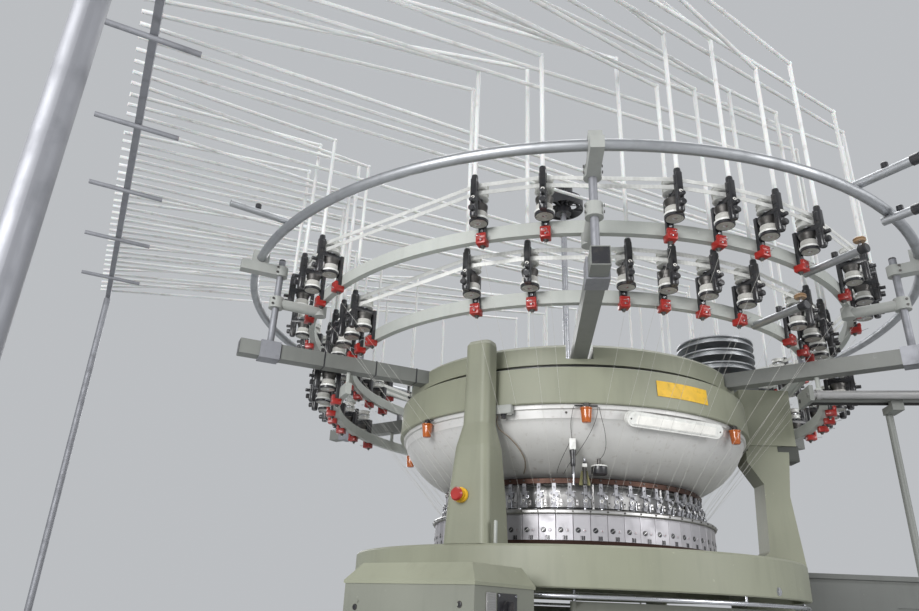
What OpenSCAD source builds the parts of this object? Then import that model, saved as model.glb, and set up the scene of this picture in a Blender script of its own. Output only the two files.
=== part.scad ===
// Large circular knitting machine: base and legs, table ring, knitting head, three columns,
// top drum with its dish, radial beams, yarn feeder rings and the yarn tubes above them.
// The origin is on the floor, on the machine's axis. The front of the machine faces -Y.

/* [Table and base] */
// Outer radius of the table ring
table_r = 750; // [735:5:770]
// Inner radius of the table ring's top plate
table_in_r = 400; // [398:1:405]
// Height of the table ring's underside above the floor
table_z = 1095; // [1060:5:1130]
// Height of the table ring
table_h = 105; // [95:5:115]
// Thickness of the table ring's outer wall and top plate
table_wall = 24; // [18:1:30]
// Radius of the hub in the middle of the base
hub_r = 130; // [110:5:150]
// Height of the base ring and of its hub
base_h = 100; // [80:5:120]
// Outer radius of the base ring
base_r = 700; // [690:5:710]
// Width of each lower leg
leg_w = 150; // [130:5:160]

/* [Knitting head] */
// Radius of the needle cylinder
cyl_r = 381; // [376:1:382]
// Wall of the needle cylinder
cyl_wall = 40; // [30:1:50]
// Number of cam boxes and yarn guides round the head
feeds = 60; // [58:1:62]
// Outer radius of the cam boxes
cam_r = 485; // [478:1:490]
// Outer radius of the cam base ring
cam_base_r = 500; // [495:1:510]
// Height of the cam base ring
cam_base_h = 34; // [30:1:40]
// Height of each cam box
cam_box_h = 74; // [66:1:80]
// Gap between two cam boxes
cam_gap = 1.2; // [0.8:0.2:2]
// Height of the bright cap ring above the cam boxes
cap_h = 14; // [10:1:18]
// Height of the posts under the yarn guide ring
guide_post_h = 81; // [75:1:90]
// Outer radius of the yarn guide ring
guide_ring_r = 452; // [446:1:456]
// Height of the yarn guide ring
guide_ring_h = 17; // [12:1:20]

/* [Top drum] */
// Height of the drum's lower edge above the table
drum_lift = 405; // [395:5:415]
// Outer radius of the top drum
drum_r = 630; // [620:5:635]
// Height of the top drum
drum_h = 115; // [105:5:125]
// Height of the black spacer above the drum
spacer_h = 15; // [10:1:20]
// Outer radius of the top cover
cover_r = 598; // [590:1:604]
// Height of the top cover's rim segments
cover_h = 48; // [42:1:54]
// Thickness of the plate that carries the beams
plate_t = 17; // [14:1:20]
// Sheet thickness of the dish
dish_t = 4; // [3:0.5:6]

/* [Columns] */
// Direction of the front column
column_az = -122; // [-124:1:-120]
// Width of a column at the table
column_foot_w = 145; // [135:5:155]
// Width of a column at its top
column_top_w = 82; // [76:1:90]
// Radius of the columns' outer face at the top
column_r = 706; // [700:1:712]

/* [Beams and rings] */
// Direction of the front beam
beam_az = -95.5; // [-98:0.5:-93]
// Radius at which the beams end
beam_end_r = 1235; // [1215:5:1260]
// Width of a beam
beam_w = 46; // [40:1:52]
// Height of a beam
beam_h = 48; // [42:1:54]
// Wall of a beam
beam_wall = 4; // [3:0.5:6]
// Radius of the top ring's tube centre
top_ring_r = 1212; // [1200:2:1224]
// Diameter of the top ring's tube
top_ring_d = 30; // [26:1:34]
// Height of the top ring's centre above the beams
top_ring_lift = 290; // [270:5:310]
// Radius of the posts that carry the rings
post_r = 1140; // [1130:5:1150]
// Diameter of the posts
post_d = 22; // [18:1:26]
// Radius of the upper feeder ring
upper_r = 990; // [980:2:1000]
// Height of the upper feeder ring's centre above the beams
upper_lift = 184; // [175:1:195]
// Radius of the lower feeder ring
lower_r = 835; // [825:2:845]
// Height of the lower feeder ring's centre above the beams
lower_lift = 50; // [48:1:58]
// Radius of the rear feeder ring
rear_r = 870; // [860:2:880]
// Depth of the rear feeder ring's centre below the beams
rear_drop = 105; // [102:1:112]
// Width of a feeder ring's section
ring_w = 20; // [16:1:24]
// Height of a feeder ring's section
ring_h = 38; // [34:1:42]

/* [Yarn feeders] */
// Radius of a feeder's belt pulley
pulley_r = 22.5; // [20:0.5:24]
// Height of a feeder's belt pulley
pulley_h = 14; // [12:1:16]
// Radius of a feeder's yarn spool
spool_r = 26; // [23:0.5:27]
// Height of a feeder's yarn spool
spool_h = 55; // [48:1:58]
// Distance of a feeder's shaft from the ring's centreline
feeder_reach = 50; // [48:1:52]
// Diameter of a feeder's shaft
shaft_d = 8; // [6:0.5:10]
// Height of a drive belt
belt_h = 12; // [8:0.5:13]
// Thickness of a drive belt
belt_t = 1.6; // [1.2:0.2:2]
// Clearance between pieces that seat on each other
seat = 0.3; // [0.2:0.05:0.4]

/* [Yarn tubes] */
// Diameter of a yarn tube
tube_d = 12; // [10:0.5:14]
// Height of the tube elbows above the beams at the machine's left side
elbow_lift = 650; // [620:5:700]
// Rise of the elbows from the left side to the right side
elbow_rise = 130; // [100:5:160]
// Height of the tube rail's top above the floor
rail_z = 2400; // [2380:5:2440]
// Width of the tube rail
rail_w = 20; // [16:1:24]
// Height of the tube rail
rail_h = 40; // [30:1:50]
// Radius of the tube rail's floor posts
rail_post_r = 14; // [12:1:20]

/* [Pole and fan] */
// Diameter of the centre pole
pole_d = 24; // [20:1:28]
// Height of the pole's top above the plate
pole_h = 880; // [800:10:920]
// Outer radius of the fan's guard ring
fan_r = 85; // [75:1:95]

/* [Switch cabinet] */
// Width of the switch cabinet
cabinet_w = 390; // [370:5:410]
// Distance of the switch cabinet's front from the machine's axis
cabinet_front = 1030; // [1020:5:1060]
// Depth of the switch cabinet from front to back
cabinet_d = 240; // [220:5:250]
// Height of the switch cabinet's lower edge above the floor
cabinet_z = 300; // [250:10:400]
// Height of the cabinet's hood
hood_h = 48; // [40:2:60]
// Travel of the stop button
stop_travel = 6; // [4:0.5:8]

/* [Electrical cabinet] */
// Width of the electrical cabinet
box_w = 660; // [600:10:700]
// Depth of the electrical cabinet
box_d = 500; // [450:10:550]
// Height of the electrical cabinet above its plinth
box_h = 1100; // [1050:10:1120]
// Thickness of the cabinet's walls and door
box_t = 20; // [16:1:25]

/* [Take-down] */
// Radius of the take-down rollers
nip_r = 27; // [22:1:29]
// Radius of the cloth roller
cloth_roller_r = 34; // [28:1:40]
// Length of the rollers between the side plates
roller_l = 560; // [540:5:570]
// Height of the take-down rollers' axes
nip_z = 700; // [650:10:760]

/* [Hidden] */
$fn = 64;

olive = [0.50, 0.53, 0.42];
grey_paint = [0.44, 0.46, 0.42];
steel = [0.75, 0.75, 0.77];
chrome = [0.86, 0.87, 0.88];
black = [0.09, 0.09, 0.10];
white = [0.93, 0.93, 0.92];
brown = [0.30, 0.20, 0.17];
pale = [0.72, 0.75, 0.72];
red = [0.75, 0.10, 0.07];
amber = [0.90, 0.38, 0.05];
yellow = [0.90, 0.70, 0.10];

// Heights, each built on the one below it
table_top = table_z + table_h;
cam_box_z = table_top + cam_base_h;
cap_z = cam_box_z + cam_box_h;
guide_post_z = cap_z + cap_h;
guide_ring_z = guide_post_z + guide_post_h;
guide_ring_top = guide_ring_z + guide_ring_h;
drum_z = table_top + drum_lift;
drum_top = drum_z + drum_h;
plate_z = drum_top + spacer_h;
beam_z = plate_z + plate_t;
beam_top = beam_z + beam_h;
cover_top = beam_z + cover_h;
lower_z = beam_top + lower_lift;
upper_z = beam_top + upper_lift;
top_ring_z = beam_top + top_ring_lift;
rear_z = beam_top - rear_drop;

// Knitting head
cam_in_r = cyl_r + 2;
guide_in_r = guide_ring_r - 22;
head_az = beam_az;
bearing_gap = 0.3;
run = 0.05;
cyl_z = table_z + 55;
ledge_z = cyl_z + 2;
ledge_h = 6;
flange_z = ledge_z + ledge_h + bearing_gap;
flange_h = 14;
flange_r = table_in_r - 4;
ledge_r = cyl_r + 5;
cyl_top = cap_z + 10;
dial_z = cyl_top + 8;
dial_t = 14;
dial_r = cyl_r - 3;
dial_hub_r = 60;
dial_shaft_r = 25;
cam_plate_z = dial_z + dial_t + 2;
dish_in_r = 398;
dish_z = guide_ring_top + 2;

// Columns
column_azs = [column_az, column_az + 120, column_az + 240];
column_h = drum_top - 5 - table_top;
column_cap_h = 85;

// Beams: six, evenly spaced
beam_azs = [for (i = [-1:4]) beam_az + 60 * i];
beam_start_r = 470;
post_base_h = 4;

// Feeders: each fraction is a place in the bay between two beams. Two kinds of bay alternate.
upper_bays = [[0.047, 0.185, 0.727, 0.892], [0.205, 0.338, 0.473, 0.623, 0.887]];
lower_bays = [[0.045, 0.145, 0.648, 0.833], [0.117, 0.245, 0.38, 0.527, 0.807, 0.943]];
upper_azs = [for (i = [0:5], f = upper_bays[i % 2]) beam_azs[i] + 60 * f];
lower_azs = [for (i = [0:5], f = lower_bays[i % 2]) beam_azs[i] + 60 * f];
rear_span = 240;
rear_azs = [for (f = [0.035, 0.065, 0.095, 0.13, 0.175, 0.21, 0.79, 0.825, 0.862, 0.905, 0.935, 0.98])
    beam_azs[1] + 60 + rear_span * f];
clamp_x = ring_w / 2 + seat;
arm_z = 66;
arm_t = 18;
pulley_z1 = arm_z + arm_t + 3;
pulley_z2 = pulley_z1 + pulley_h + 10;
spine_x = feeder_reach + pulley_r + 6;
riser_x = spine_x + 11;
socket_top = pulley_z2 + pulley_h + 14;
socket_depth = 14;
belt_r = (pulley_r + seat) / cos(16);
unit_z = -ring_h / 2 - 3 - seat;
nose_z = unit_z - 34;

// Yarns: the feeders in order round the machine, each with the guide that it feeds. The guide
// behind each column stays empty.
tip_x = 12;
yarn_d = 1.2;
yarn_tops = concat([for (a = upper_azs) [upper_r + tip_x, a, upper_z + nose_z]],
    [for (a = lower_azs) [lower_r + tip_x, a, lower_z + nose_z]]);
guide_azs = [for (i = [0:feeds - 1]) head_az + 360 / feeds * (i - floor(feeds / 6) + 0.35)];
function near_column(a) = min([for (c = column_azs) abs(((a - c + 540) % 360) - 180)]) < 3;
used_guides = [for (a = guide_azs) if (!near_column(a)) a];
function order(i) = len([for (q = yarn_tops) if (q[1] < yarn_tops[i][1]) 1]);

// Yarn tubes and their rail
rail_a = [-2150, 560];
rail_b = [-760, -2180];
rail_len = norm(rail_b - rail_a);
rail_dir = (rail_b - rail_a) / rail_len;
elbow_r = 8;
risers = concat([for (a = upper_azs) [(upper_r + riser_x) * cos(a), (upper_r + riser_x) * sin(a), upper_z]],
    [for (a = lower_azs) [(lower_r + riser_x) * cos(a), (lower_r + riser_x) * sin(a), lower_z]]);
along = [for (p = risers) p[0] * rail_dir[0] + p[1] * rail_dir[1]];
rank = [for (s = along) len([for (q = along) if (q < s) 1])];
rail_start = 20;
rail_end = 95;
tube_pitch = (rail_len - rail_start - rail_end) / (len(risers) - 1);
// Height of each tube's elbow above the lowest, so that the runs pass each other
elbow_steps = [
    102, 24, 0, 0, 66, 72, 6, 96, 60, 84, 114, 0, 66, 60, 60, 114, 102, 102, 84,
    54, 0, 90, 6, 0, 0, 0, 102, 66, 0, 72, 102, 108, 12, 24, 60, 96, 72, 66,
    42, 24, 108, 18, 18, 24, 42, 114, 66, 102, 54, 12, 120, 66, 24, 30, 54, 6, 0,
];

// Switch cabinet and its surroundings
cabinet_az = column_az - 6;
cabinet_y = 135;
cabinet_back = cabinet_front - cabinet_d;
cabinet_top = table_z - 10;

// Electrical cabinet
box_x = 840;
box_y = 250;
plinth_h = 100;

// Take-down and drive
gear_teeth = 120;
pinion_teeth = 20;
gear_mod = 6;
gear_h = 28;
gear_z = cyl_z - gear_h;
gear_r = gear_teeth * gear_mod / 2;
pinion_r = pinion_teeth * gear_mod / 2;
drive_r = gear_r + pinion_r;
drive_az = column_azs[2];
frame_ring_h = 24;
plate_x = roller_l / 2 + 1;
side_t = 12;
side_hw = 110;
journal_r = 12;
nip_gap = 0.6;
cloth_z = nip_z - 280;
foot_z = 280;

function ring_point(r, a) = [r * cos(a), r * sin(a)];
function arc(r, a0, a1, n) = [for (i = [0:n]) ring_point(r, a0 + (a1 - a0) * i / n)];

// A ring with a rectangular section
module band(r0, r1, z0, z1, a0 = 0, sweep = 360) {
    rotate([0, 0, a0])
        rotate_extrude(angle = sweep)
            translate([r0, z0])
                square([r1 - r0, z1 - z0]);
}

// Places its children at each direction in the list
module at(azs, r = 0, z = 0) {
    for (a = azs)
        rotate([0, 0, a])
            translate([r, 0, z])
                children();
}

// A block centred across Y, standing on z
module block(x0, x1, w, z0, z1) {
    translate([x0, -w / 2, z0])
        cube([x1 - x0, w, z1 - z0]);
}

// A round bar along X
module bar_x(r, x0, x1) {
    translate([x0, 0, 0])
        rotate([0, 90, 0])
            cylinder(r = r, h = x1 - x0);
}

// Base and table

module base_frame() {
    color(grey_paint) {
        cylinder(r = hub_r, h = base_h);
        band(base_r - 100, base_r, 40, base_h);
        at(column_azs) block(hub_r - 10, base_r - 60, 110, 20, base_h - 10);
        at(column_azs) block(base_r - 90, base_r - 10, leg_w, 0, base_h);
    }
}

module lower_legs() {
    color(olive)
        at(column_azs)
            translate([0, leg_w / 2, 0])
                rotate([90, 0, 0])
                    linear_extrude(leg_w)
                        polygon([[base_r - 100, base_h], [base_r - 5, base_h], [base_r + 25, table_z],
                            [base_r - 135, table_z], [base_r - 135, table_z - 90], [base_r - 100, table_z - 220]]);
}

module table_ring() {
    color(olive)
        rotate_extrude($fn = 180)
            polygon([[ledge_r, ledge_z], [table_in_r + 40, ledge_z], [table_in_r + 40, table_top - table_wall],
                [table_r - table_wall, table_top - table_wall], [table_r - table_wall, table_z],
                [table_r - 3, table_z], [table_r, table_z + 3], [table_r, table_top - 6],
                [table_r - 6, table_top], [table_in_r, table_top], [table_in_r, ledge_z + ledge_h],
                [ledge_r, ledge_z + ledge_h]]);
    color(olive)
        at(column_azs) block(table_r - 190, table_r - table_wall + 4, leg_w, table_z, table_top - table_wall + 4);
}

rail_r = table_r - table_wall / 2;
door_r = 640;
door_z0 = base_h + 20;
door_z1 = table_z - 28;
hinge_r = 5;
knuckle_r = 10;
front_hinge = -99;
right_hinge = 106;
left_hinge = 130;
hinge_azs = [front_hinge, right_hinge, left_hinge];

module guard_rail() {
    color(chrome) {
        for (a = column_azs)
            rotate([0, 0, a + 8])
                rotate_extrude(angle = 104)
                    translate([rail_r, table_z - 18])
                        circle(r = 6);
        for (a = column_azs)
            rotate([0, 0, a])
                for (t = [12, 60, 108])
                    rotate([0, 0, t])
                        translate([rail_r, 0, table_z - 18])
                            cylinder(r = 4, h = 18);
        at(hinge_azs, door_r, base_h) cylinder(r = hinge_r, h = table_z - base_h);
    }
}

// A curved guard door between two legs, hinged at direction a0 and reaching round to a1
module guard_door(a0, a1) {
    span = a1 - a0;
    color(grey_paint)
        difference() {
            union() {
                band(door_r - 2, door_r + 2, door_z0, door_z1, a0 + 0.5, span - 0.5);
                band(door_r - 8, door_r + 8, door_z1 - 24, door_z1, a0 + 0.5, span - 0.5);
                band(door_r - 8, door_r + 8, door_z0, door_z0 + 24, a0 + 0.5, span - 0.5);
                at([a0], door_r, door_z0) cylinder(r = knuckle_r, h = door_z1 - door_z0);
                at([a1 - 8], door_r, nip_z) block(0, 38, 16, -70, 70);
            }
            at([a0], door_r, door_z0 - 1) cylinder(r = hinge_r + run, h = door_z1 - door_z0 + 2);
            at([a1 - 8], door_r, nip_z) block(10, 28, 20, -52, 52);
            for (k = [1:5])
                band(door_r - 20, door_r + 20, door_z0 + 560, door_z0 + 800,
                    a0 + span * (k - 0.5) / 6 + 2, span / 6 - 4);
        }
}

module front_guard_door() guard_door(front_hinge, -14);
module right_guard_door() mirror([0, 1, 0]) guard_door(-right_hinge, -11);
module left_guard_door() guard_door(left_hinge, 214);

// Knitting head

module cam_base_ring() {
    color(brown)
        rotate_extrude($fn = 180)
            polygon([[table_in_r, table_top], [cam_base_r, table_top], [cam_base_r, table_top + 16],
                [cam_base_r - 4, table_top + 20], [cam_r + 2, cam_box_z], [table_in_r, cam_box_z]]);
    color(brown)
        at([for (i = [0:2:feeds - 1]) head_az + 360 / feeds * (i + 0.5)], cam_base_r - 2, table_top + 8)
            bar_x(4, 0, 6);
}

// One cam box: a wedge-shaped plate with its cam screw hole, setting hole and two slots
module cam_box() {
    half = 180 / feeds;
    w1 = cam_r * tan(half) - cam_gap / 2;
    w0 = cam_in_r * tan(half) - cam_gap / 2;
    hole_z = cam_box_h * 0.38;
    difference() {
        linear_extrude(cam_box_h)
            polygon([[cam_in_r, -w0], [cam_r - 1, -w1], [cam_r, -w1 + 1], [cam_r, w1 - 1],
                [cam_r - 1, w1], [cam_in_r, w0]]);
        translate([0, -w1 * 0.4, hole_z]) bar_x(7, cam_r - 9, cam_r + 1);
        translate([0, w1 * 0.3, hole_z]) bar_x(2.2, cam_r - 3, cam_r + 1);
        for (s = [-4, 4])
            translate([0, s + 1, 0]) block(cam_r - 4, cam_r + 1, 3, -1, 13);
    }
    translate([0, -w1 * 0.4, hole_z])
        difference() {
            bar_x(5.6, cam_r - 9, cam_r - 3);
            block(cam_r - 5, cam_r, 1.6, -6, 6);
        }
}

module cam_boxes() {
    color(steel)
        at([for (i = [0:feeds - 1]) head_az + 360 / feeds * i], 0, cam_box_z) cam_box();
}

module cap_ring() {
    color(chrome) {
        rotate_extrude($fn = 180)
            polygon([[cam_r - 45, cap_z], [cam_r + 6, cap_z], [cam_r + 8, cap_z + 3], [cam_r + 8, cap_z + cap_h - 4],
                [cam_r + 4, cap_z + cap_h], [cam_r - 45, cap_z + cap_h]]);
        at([for (i = [0:5:feeds - 3]) head_az + 360 / feeds * (i + 0.85)], guide_ring_r - 9, guide_post_z - 3)
            cylinder(r = 4, h = guide_post_h + 3);
    }
}

module yarn_guide_ring() {
    color(brown)
        rotate_extrude($fn = 180)
            polygon([[guide_in_r, guide_ring_z], [guide_ring_r, guide_ring_z], [guide_ring_r, guide_ring_top - 3],
                [guide_ring_r - 3, guide_ring_top], [guide_in_r, guide_ring_top]]);
}

// One yarn guide: a tab under the ring, an arm, a disc with an eye, and a nose towards the needles
module yarn_guide() {
    tab_z = -26;
    disc_x = guide_ring_r + 6;
    disc_z = -52;
    difference() {
        union() {
            block(guide_ring_r - 7, guide_ring_r, 11, tab_z, 0);
            block(guide_ring_r - 7, disc_x - 3, 24, tab_z - 7, tab_z);
            block(disc_x - 7, disc_x - 3, 9, disc_z - 14, tab_z - 3);
            translate([0, 0, disc_z]) bar_x(8.5, disc_x - 5, disc_x);
            translate([0, 10, tab_z - 11]) bar_x(5, disc_x - 9, disc_x + 3);
            block(disc_x - 14, disc_x - 4, 13, disc_z - 20, disc_z - 9);
        }
        translate([0, 0, disc_z]) bar_x(3, disc_x - 10, disc_x + 1);
        translate([0, 0, tab_z + 14]) bar_x(2.5, guide_ring_r - 10, guide_ring_r + 1);
    }
}

module yarn_guides() {
    color(chrome)
        at([for (i = [0:feeds - 1]) head_az + 360 / feeds * (i + 0.35)], 0, guide_ring_z) yarn_guide();
}

// Columns

// A rounded cross-section of a column: radii r0 to r1, width w
module column_slice(r0, r1, w, z, round_r = 22) {
    translate([0, 0, z])
        linear_extrude(0.01)
            for (x = [r0 + round_r, r1 - round_r], y = [-w / 2 + round_r, w / 2 - round_r])
                translate([x, y])
                    circle(r = round_r, $fn = 32);
}

// The shaft of a column: it narrows from its foot to a waist and widens inwards under the drum
module column_shaft(top_w) {
    z0 = table_top;
    hull() {
        column_slice(column_r - 100, column_r + 40, column_foot_w, z0);
        column_slice(column_r - 96, column_r + 34, column_foot_w - 12, z0 + 120);
    }
    hull() {
        column_slice(column_r - 96, column_r + 34, column_foot_w - 12, z0 + 120);
        column_slice(column_r - 86, column_r + 20, column_foot_w - 34, z0 + 270);
    }
    hull() {
        column_slice(column_r - 86, column_r + 20, column_foot_w - 34, z0 + 270);
        column_slice(column_r - 70, column_r + 4, top_w + 4, z0 + 340);
    }
    hull() {
        column_slice(column_r - 70, column_r + 4, top_w + 4, z0 + 340);
        column_slice(column_r - 72, column_r, top_w, z0 + column_h);
    }
}

module column_cap() {
    z0 = table_top + column_h;
    hull() {
        column_slice(column_r - 72, column_r, column_top_w, z0);
        column_slice(column_r - 72, column_r, column_top_w, z0 + column_cap_h - 14);
        column_slice(column_r - 70, column_r - 12, column_top_w - 10, z0 + column_cap_h, 16);
    }
}

module front_column() {
    color(olive)
        rotate([0, 0, column_azs[0]]) {
            column_shaft(column_top_w);
            column_cap();
        }
}

module rear_column() {
    color(olive)
        rotate([0, 0, column_azs[2]]) {
            column_shaft(column_top_w);
            column_cap();
        }
}

// The right column carries a box-shaped head that holds the drive to the drum
module right_column() {
    color(olive)
        rotate([0, 0, column_azs[1]]) {
            translate([0, 50, 0])
                rotate([90, 0, 0])
                    linear_extrude(100)
                        polygon([[column_r - 100, table_top], [column_r + 90, table_top], [column_r + 66, table_top + 250],
                            [column_r + 84, drum_z - 8], [column_r + 84, drum_z + 2], [drum_r + 6, drum_z + 2],
                            [drum_r + 6, drum_z - 38], [column_r - 20, table_top + 290], [column_r - 30, table_top + 60]]);
            difference() {
                block(drum_r + 4, column_r + 112, 108, drum_z + 24, cover_top + 38);
                translate([column_r + 112, -80, drum_z + 60])
                    rotate([0, 8, 0])
                        cube([60, 160, 240]);
            }
            for (s = [-1, 1])
                translate([0, s * 30, 0]) block(drum_r + 14, column_r + 60, 34, drum_z + 2, drum_z + 24);
        }
}

// Top drum, cover and dish

module top_drum() {
    color(olive)
        rotate_extrude($fn = 180)
            polygon([[dial_hub_r + seat, drum_z + 6], [drum_r - 22, drum_z + 6], [drum_r - 18, drum_z], [drum_r - 2, drum_z],
                [drum_r, drum_z + 3], [drum_r - 6, drum_top - 4], [drum_r - 12, drum_top], [540, drum_top],
                [540, drum_top - 16], [drum_r - 40, drum_top - 16], [drum_r - 36, drum_z + 22],
                [dial_hub_r + seat, drum_z + 22]]);
}

module drum_spacer() {
    color(black) band(545, cover_r - 10, drum_top, plate_z);
}

module top_cover() {
    notch = beam_w + 26;
    color(olive)
        difference() {
            union() {
                rotate_extrude($fn = 180)
                    polygon([[pole_d / 2 + seat, plate_z], [cover_r, plate_z], [cover_r, cover_top - 10],
                        [cover_r - 10, cover_top], [beam_start_r - 12, cover_top], [beam_start_r - 12, beam_z],
                        [pole_d / 2 + seat, beam_z]]);
                rotate([0, 0, 11.5]) {
                    block(490, 590, 90, cover_top - 20, cover_top + 60);
                    block(490, 710, 70, cover_top + 60, cover_top + 80);
                }
            }
            for (a = beam_azs)
                rotate([0, 0, a])
                    translate([beam_start_r - 14, 0, beam_z])
                        linear_extrude(cover_h + 1)
                            polygon([[0, -notch / 2], [200, -notch / 2 - 8], [200, notch / 2 + 8], [0, notch / 2]]);
            rotate([0, 0, 11.5])
                translate([quality_r, 0, cover_top])
                    cylinder(r = quality_shaft_r + run, h = 100);
        }
}

module dial_housing() {
    color(steel)
        difference() {
            rotate_extrude($fn = 120)
                polygon([[0, guide_ring_z + 2], [dish_in_r - 60, guide_ring_z + 2], [dish_in_r - 60, cam_plate_z],
                    [dish_in_r - 22, cam_plate_z], [dish_in_r - 22, guide_ring_z + 2], [dish_in_r - 2, guide_ring_z + 2],
                    [dish_in_r - 2, dish_z], [dial_hub_r, dish_z], [dial_hub_r, drum_top - 20], [0, drum_top - 20]]);
            translate([0, 0, cam_plate_z - 1]) cylinder(r = dial_shaft_r + run, h = drum_top - cam_plate_z);
        }
}

module dish_shell() {
    z1 = drum_z - 4;
    low = [[dish_in_r, dish_z], [454, dish_z + 12], [500, dish_z + 34], [540, dish_z + 62], [575, dish_z + 100],
        [600, dish_z + 143], [drum_r - 22, z1 - 10], [drum_r - 14, z1 - 8], [drum_r - 14, drum_z]];
    high = [[drum_r - 18, drum_z], [drum_r - 18, z1 - 4], [drum_r - 26, z1 - 5], [596, dish_z + 146],
        [571, dish_z + 103], [538, dish_z + 66], [499, dish_z + 38], [453, dish_z + 12 + dish_t], [dish_in_r, dish_z + dish_t]];
    color(steel)
        rotate_extrude($fn = 180)
            polygon(concat(low, high));
}

// The work lamp: a flat housing with round ends that lies along the dish under the drum
module work_lamp() {
    half_l = 150;
    half_h = 22;
    color(white)
        rotate([0, 0, -68.4])
            translate([drum_r - 29, 0, drum_z - 35])
                rotate([0, 25, 0])
                    translate([1.5 + seat, 0, 0]) {
                        translate([0, -half_l, -half_h]) cube([18, 2 * half_l, 2 * half_h]);
                        for (s = [-1, 1])
                            translate([0, s * half_l, 0]) bar_x(half_h, 0, 18);
                        translate([0, -half_l, -half_h + 7]) cube([21, 2 * half_l, 2 * half_h - 14]);
                    }
}

// The amber lamps that show a stop, each on a clip under the drum's edge
module signal_lamps() {
    top = drum_z - 15;
    color(amber)
        at([for (i = [0:6]) beam_az + 1 + 360 / 7 * i], drum_r - 3) {
            translate([0, 0, top - 44]) cylinder(r1 = 11, r2 = 15, h = 40, $fn = 48);
            translate([0, 0, top - 4]) cylinder(r = 17, h = 4);
            translate([-5, -8, top]) cube([12, 16, drum_z - top - seat]);
        }
}

// What hangs from the dish over the needles: the needle detector, the gauge and its knob
module head_instruments() {
    color(white)
        at([-98.2], drum_r - 55) {
            translate([0, 0, dish_z + 66]) cylinder(r = 9, h = 23);
            translate([0, 0, dish_z + 30]) cylinder(r = 7, h = 36);
            translate([0, 0, dish_z - 46]) cylinder(r = 3, h = 76);
        }
    color(black)
        at([-89.6], drum_r - 110) {
            translate([0, 0, dish_z - 4]) cylinder(r = 22, h = 24);
            translate([0, 0, dish_z + 20]) cylinder(r = 6, h = 23.2);
        }
    color(olive)
        at([-94.4], drum_r - 110) {
            translate([0, 0, dish_z - 36]) cylinder(r = 7, h = 50);
            translate([0, 0, dish_z + 14]) cylinder(r = 4, h = 30.6);
        }
}

// Beams and rings

module radial_beams() {
    color(grey_paint)
        at(beam_azs)
            difference() {
                block(beam_start_r, beam_end_r, beam_w, beam_z, beam_top);
                block(beam_start_r + 6, beam_end_r - 6, beam_w - 2 * beam_wall, beam_z + beam_wall, beam_top - beam_wall);
            }
}

// Posts on the beams, each with a strap round the beam, and stand-offs under the feeder rings
module ring_posts() {
    strap = 5;
    color(chrome)
        at(beam_azs) {
            difference() {
                block(post_r - 32, post_r + 32, beam_w + 2 * strap, beam_z - strap, beam_top + strap);
                block(post_r - 40, post_r + 40, beam_w + 2 * seat, beam_z - seat, beam_top + seat);
            }
            translate([post_r, 0, beam_top + strap])
                cylinder(d = post_d, h = top_ring_z - beam_top - strap + 12);
            translate([lower_r, 0, beam_top]) cylinder(d = post_d, h = lower_lift - ring_h / 2);
        }
}

// Cast arms clamped to the posts: the lower one carries the upper feeder ring, the other the top ring
module ring_arms() {
    hole = post_d / 2 + seat;
    low_z = upper_z - ring_h / 2 - 38;
    high_z = top_ring_z - top_ring_d / 2 - 34;
    color(pale)
        at(beam_azs) {
            difference() {
                union() {
                    translate([post_r, 0, low_z]) cylinder(r = post_d / 2 + 12, h = 38);
                    translate([0, 0, low_z + 19]) bar_x(17, upper_r, post_r);
                    translate([upper_r, 0, low_z + 2]) cylinder(r = 20, h = 36);
                }
                translate([post_r, 0, low_z - 1]) cylinder(r = hole, h = 40);
            }
            difference() {
                union() {
                    translate([post_r, 0, high_z]) cylinder(r = post_d / 2 + 12, h = 34);
                    block(post_r, top_ring_r + 60, 34, high_z, high_z + 34);
                    block(top_ring_r - 26, top_ring_r + 26, 34, high_z + 34, top_ring_z + top_ring_d / 2 + 10);
                }
                translate([post_r, 0, high_z - 1]) cylinder(r = hole, h = 40);
                rotate([0, 0, -5])
                    rotate_extrude(angle = 10)
                        translate([top_ring_r, top_ring_z])
                            circle(d = top_ring_d + 2 * seat);
            }
        }
}

module top_ring() {
    color(steel)
        rotate_extrude($fn = 180)
            translate([top_ring_r, top_ring_z])
                circle(d = top_ring_d);
}

module feeder_ring(r, z, a0 = 0, sweep = 360) {
    c = 3;
    rotate([0, 0, a0])
        rotate_extrude(angle = sweep, $fn = 180)
            polygon([[r - ring_w / 2, z - ring_h / 2], [r + ring_w / 2, z - ring_h / 2], [r + ring_w / 2, z + ring_h / 2],
                [r - ring_w / 2 + c, z + ring_h / 2], [r - ring_w / 2, z + ring_h / 2 - c]]);
}

module upper_feeder_ring() {
    color(pale) feeder_ring(upper_r, upper_z);
}

module lower_feeder_ring() {
    color(pale) feeder_ring(lower_r, lower_z);
}

module rear_feeder_ring() {
    color(pale) {
        feeder_ring(rear_r, rear_z, beam_azs[1] + 60 - 1, rear_span + 2);
        at([for (i = [0:4]) beam_azs[2] + 60 * i], rear_r, rear_z)
            translate([0, 0, ring_h / 2 - 4]) cylinder(r = 7, h = beam_z - rear_z - ring_h / 2 + 4);
    }
}

// Yarn feeders, drawn with x outwards from the ring's centreline and z from its centre

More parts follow.
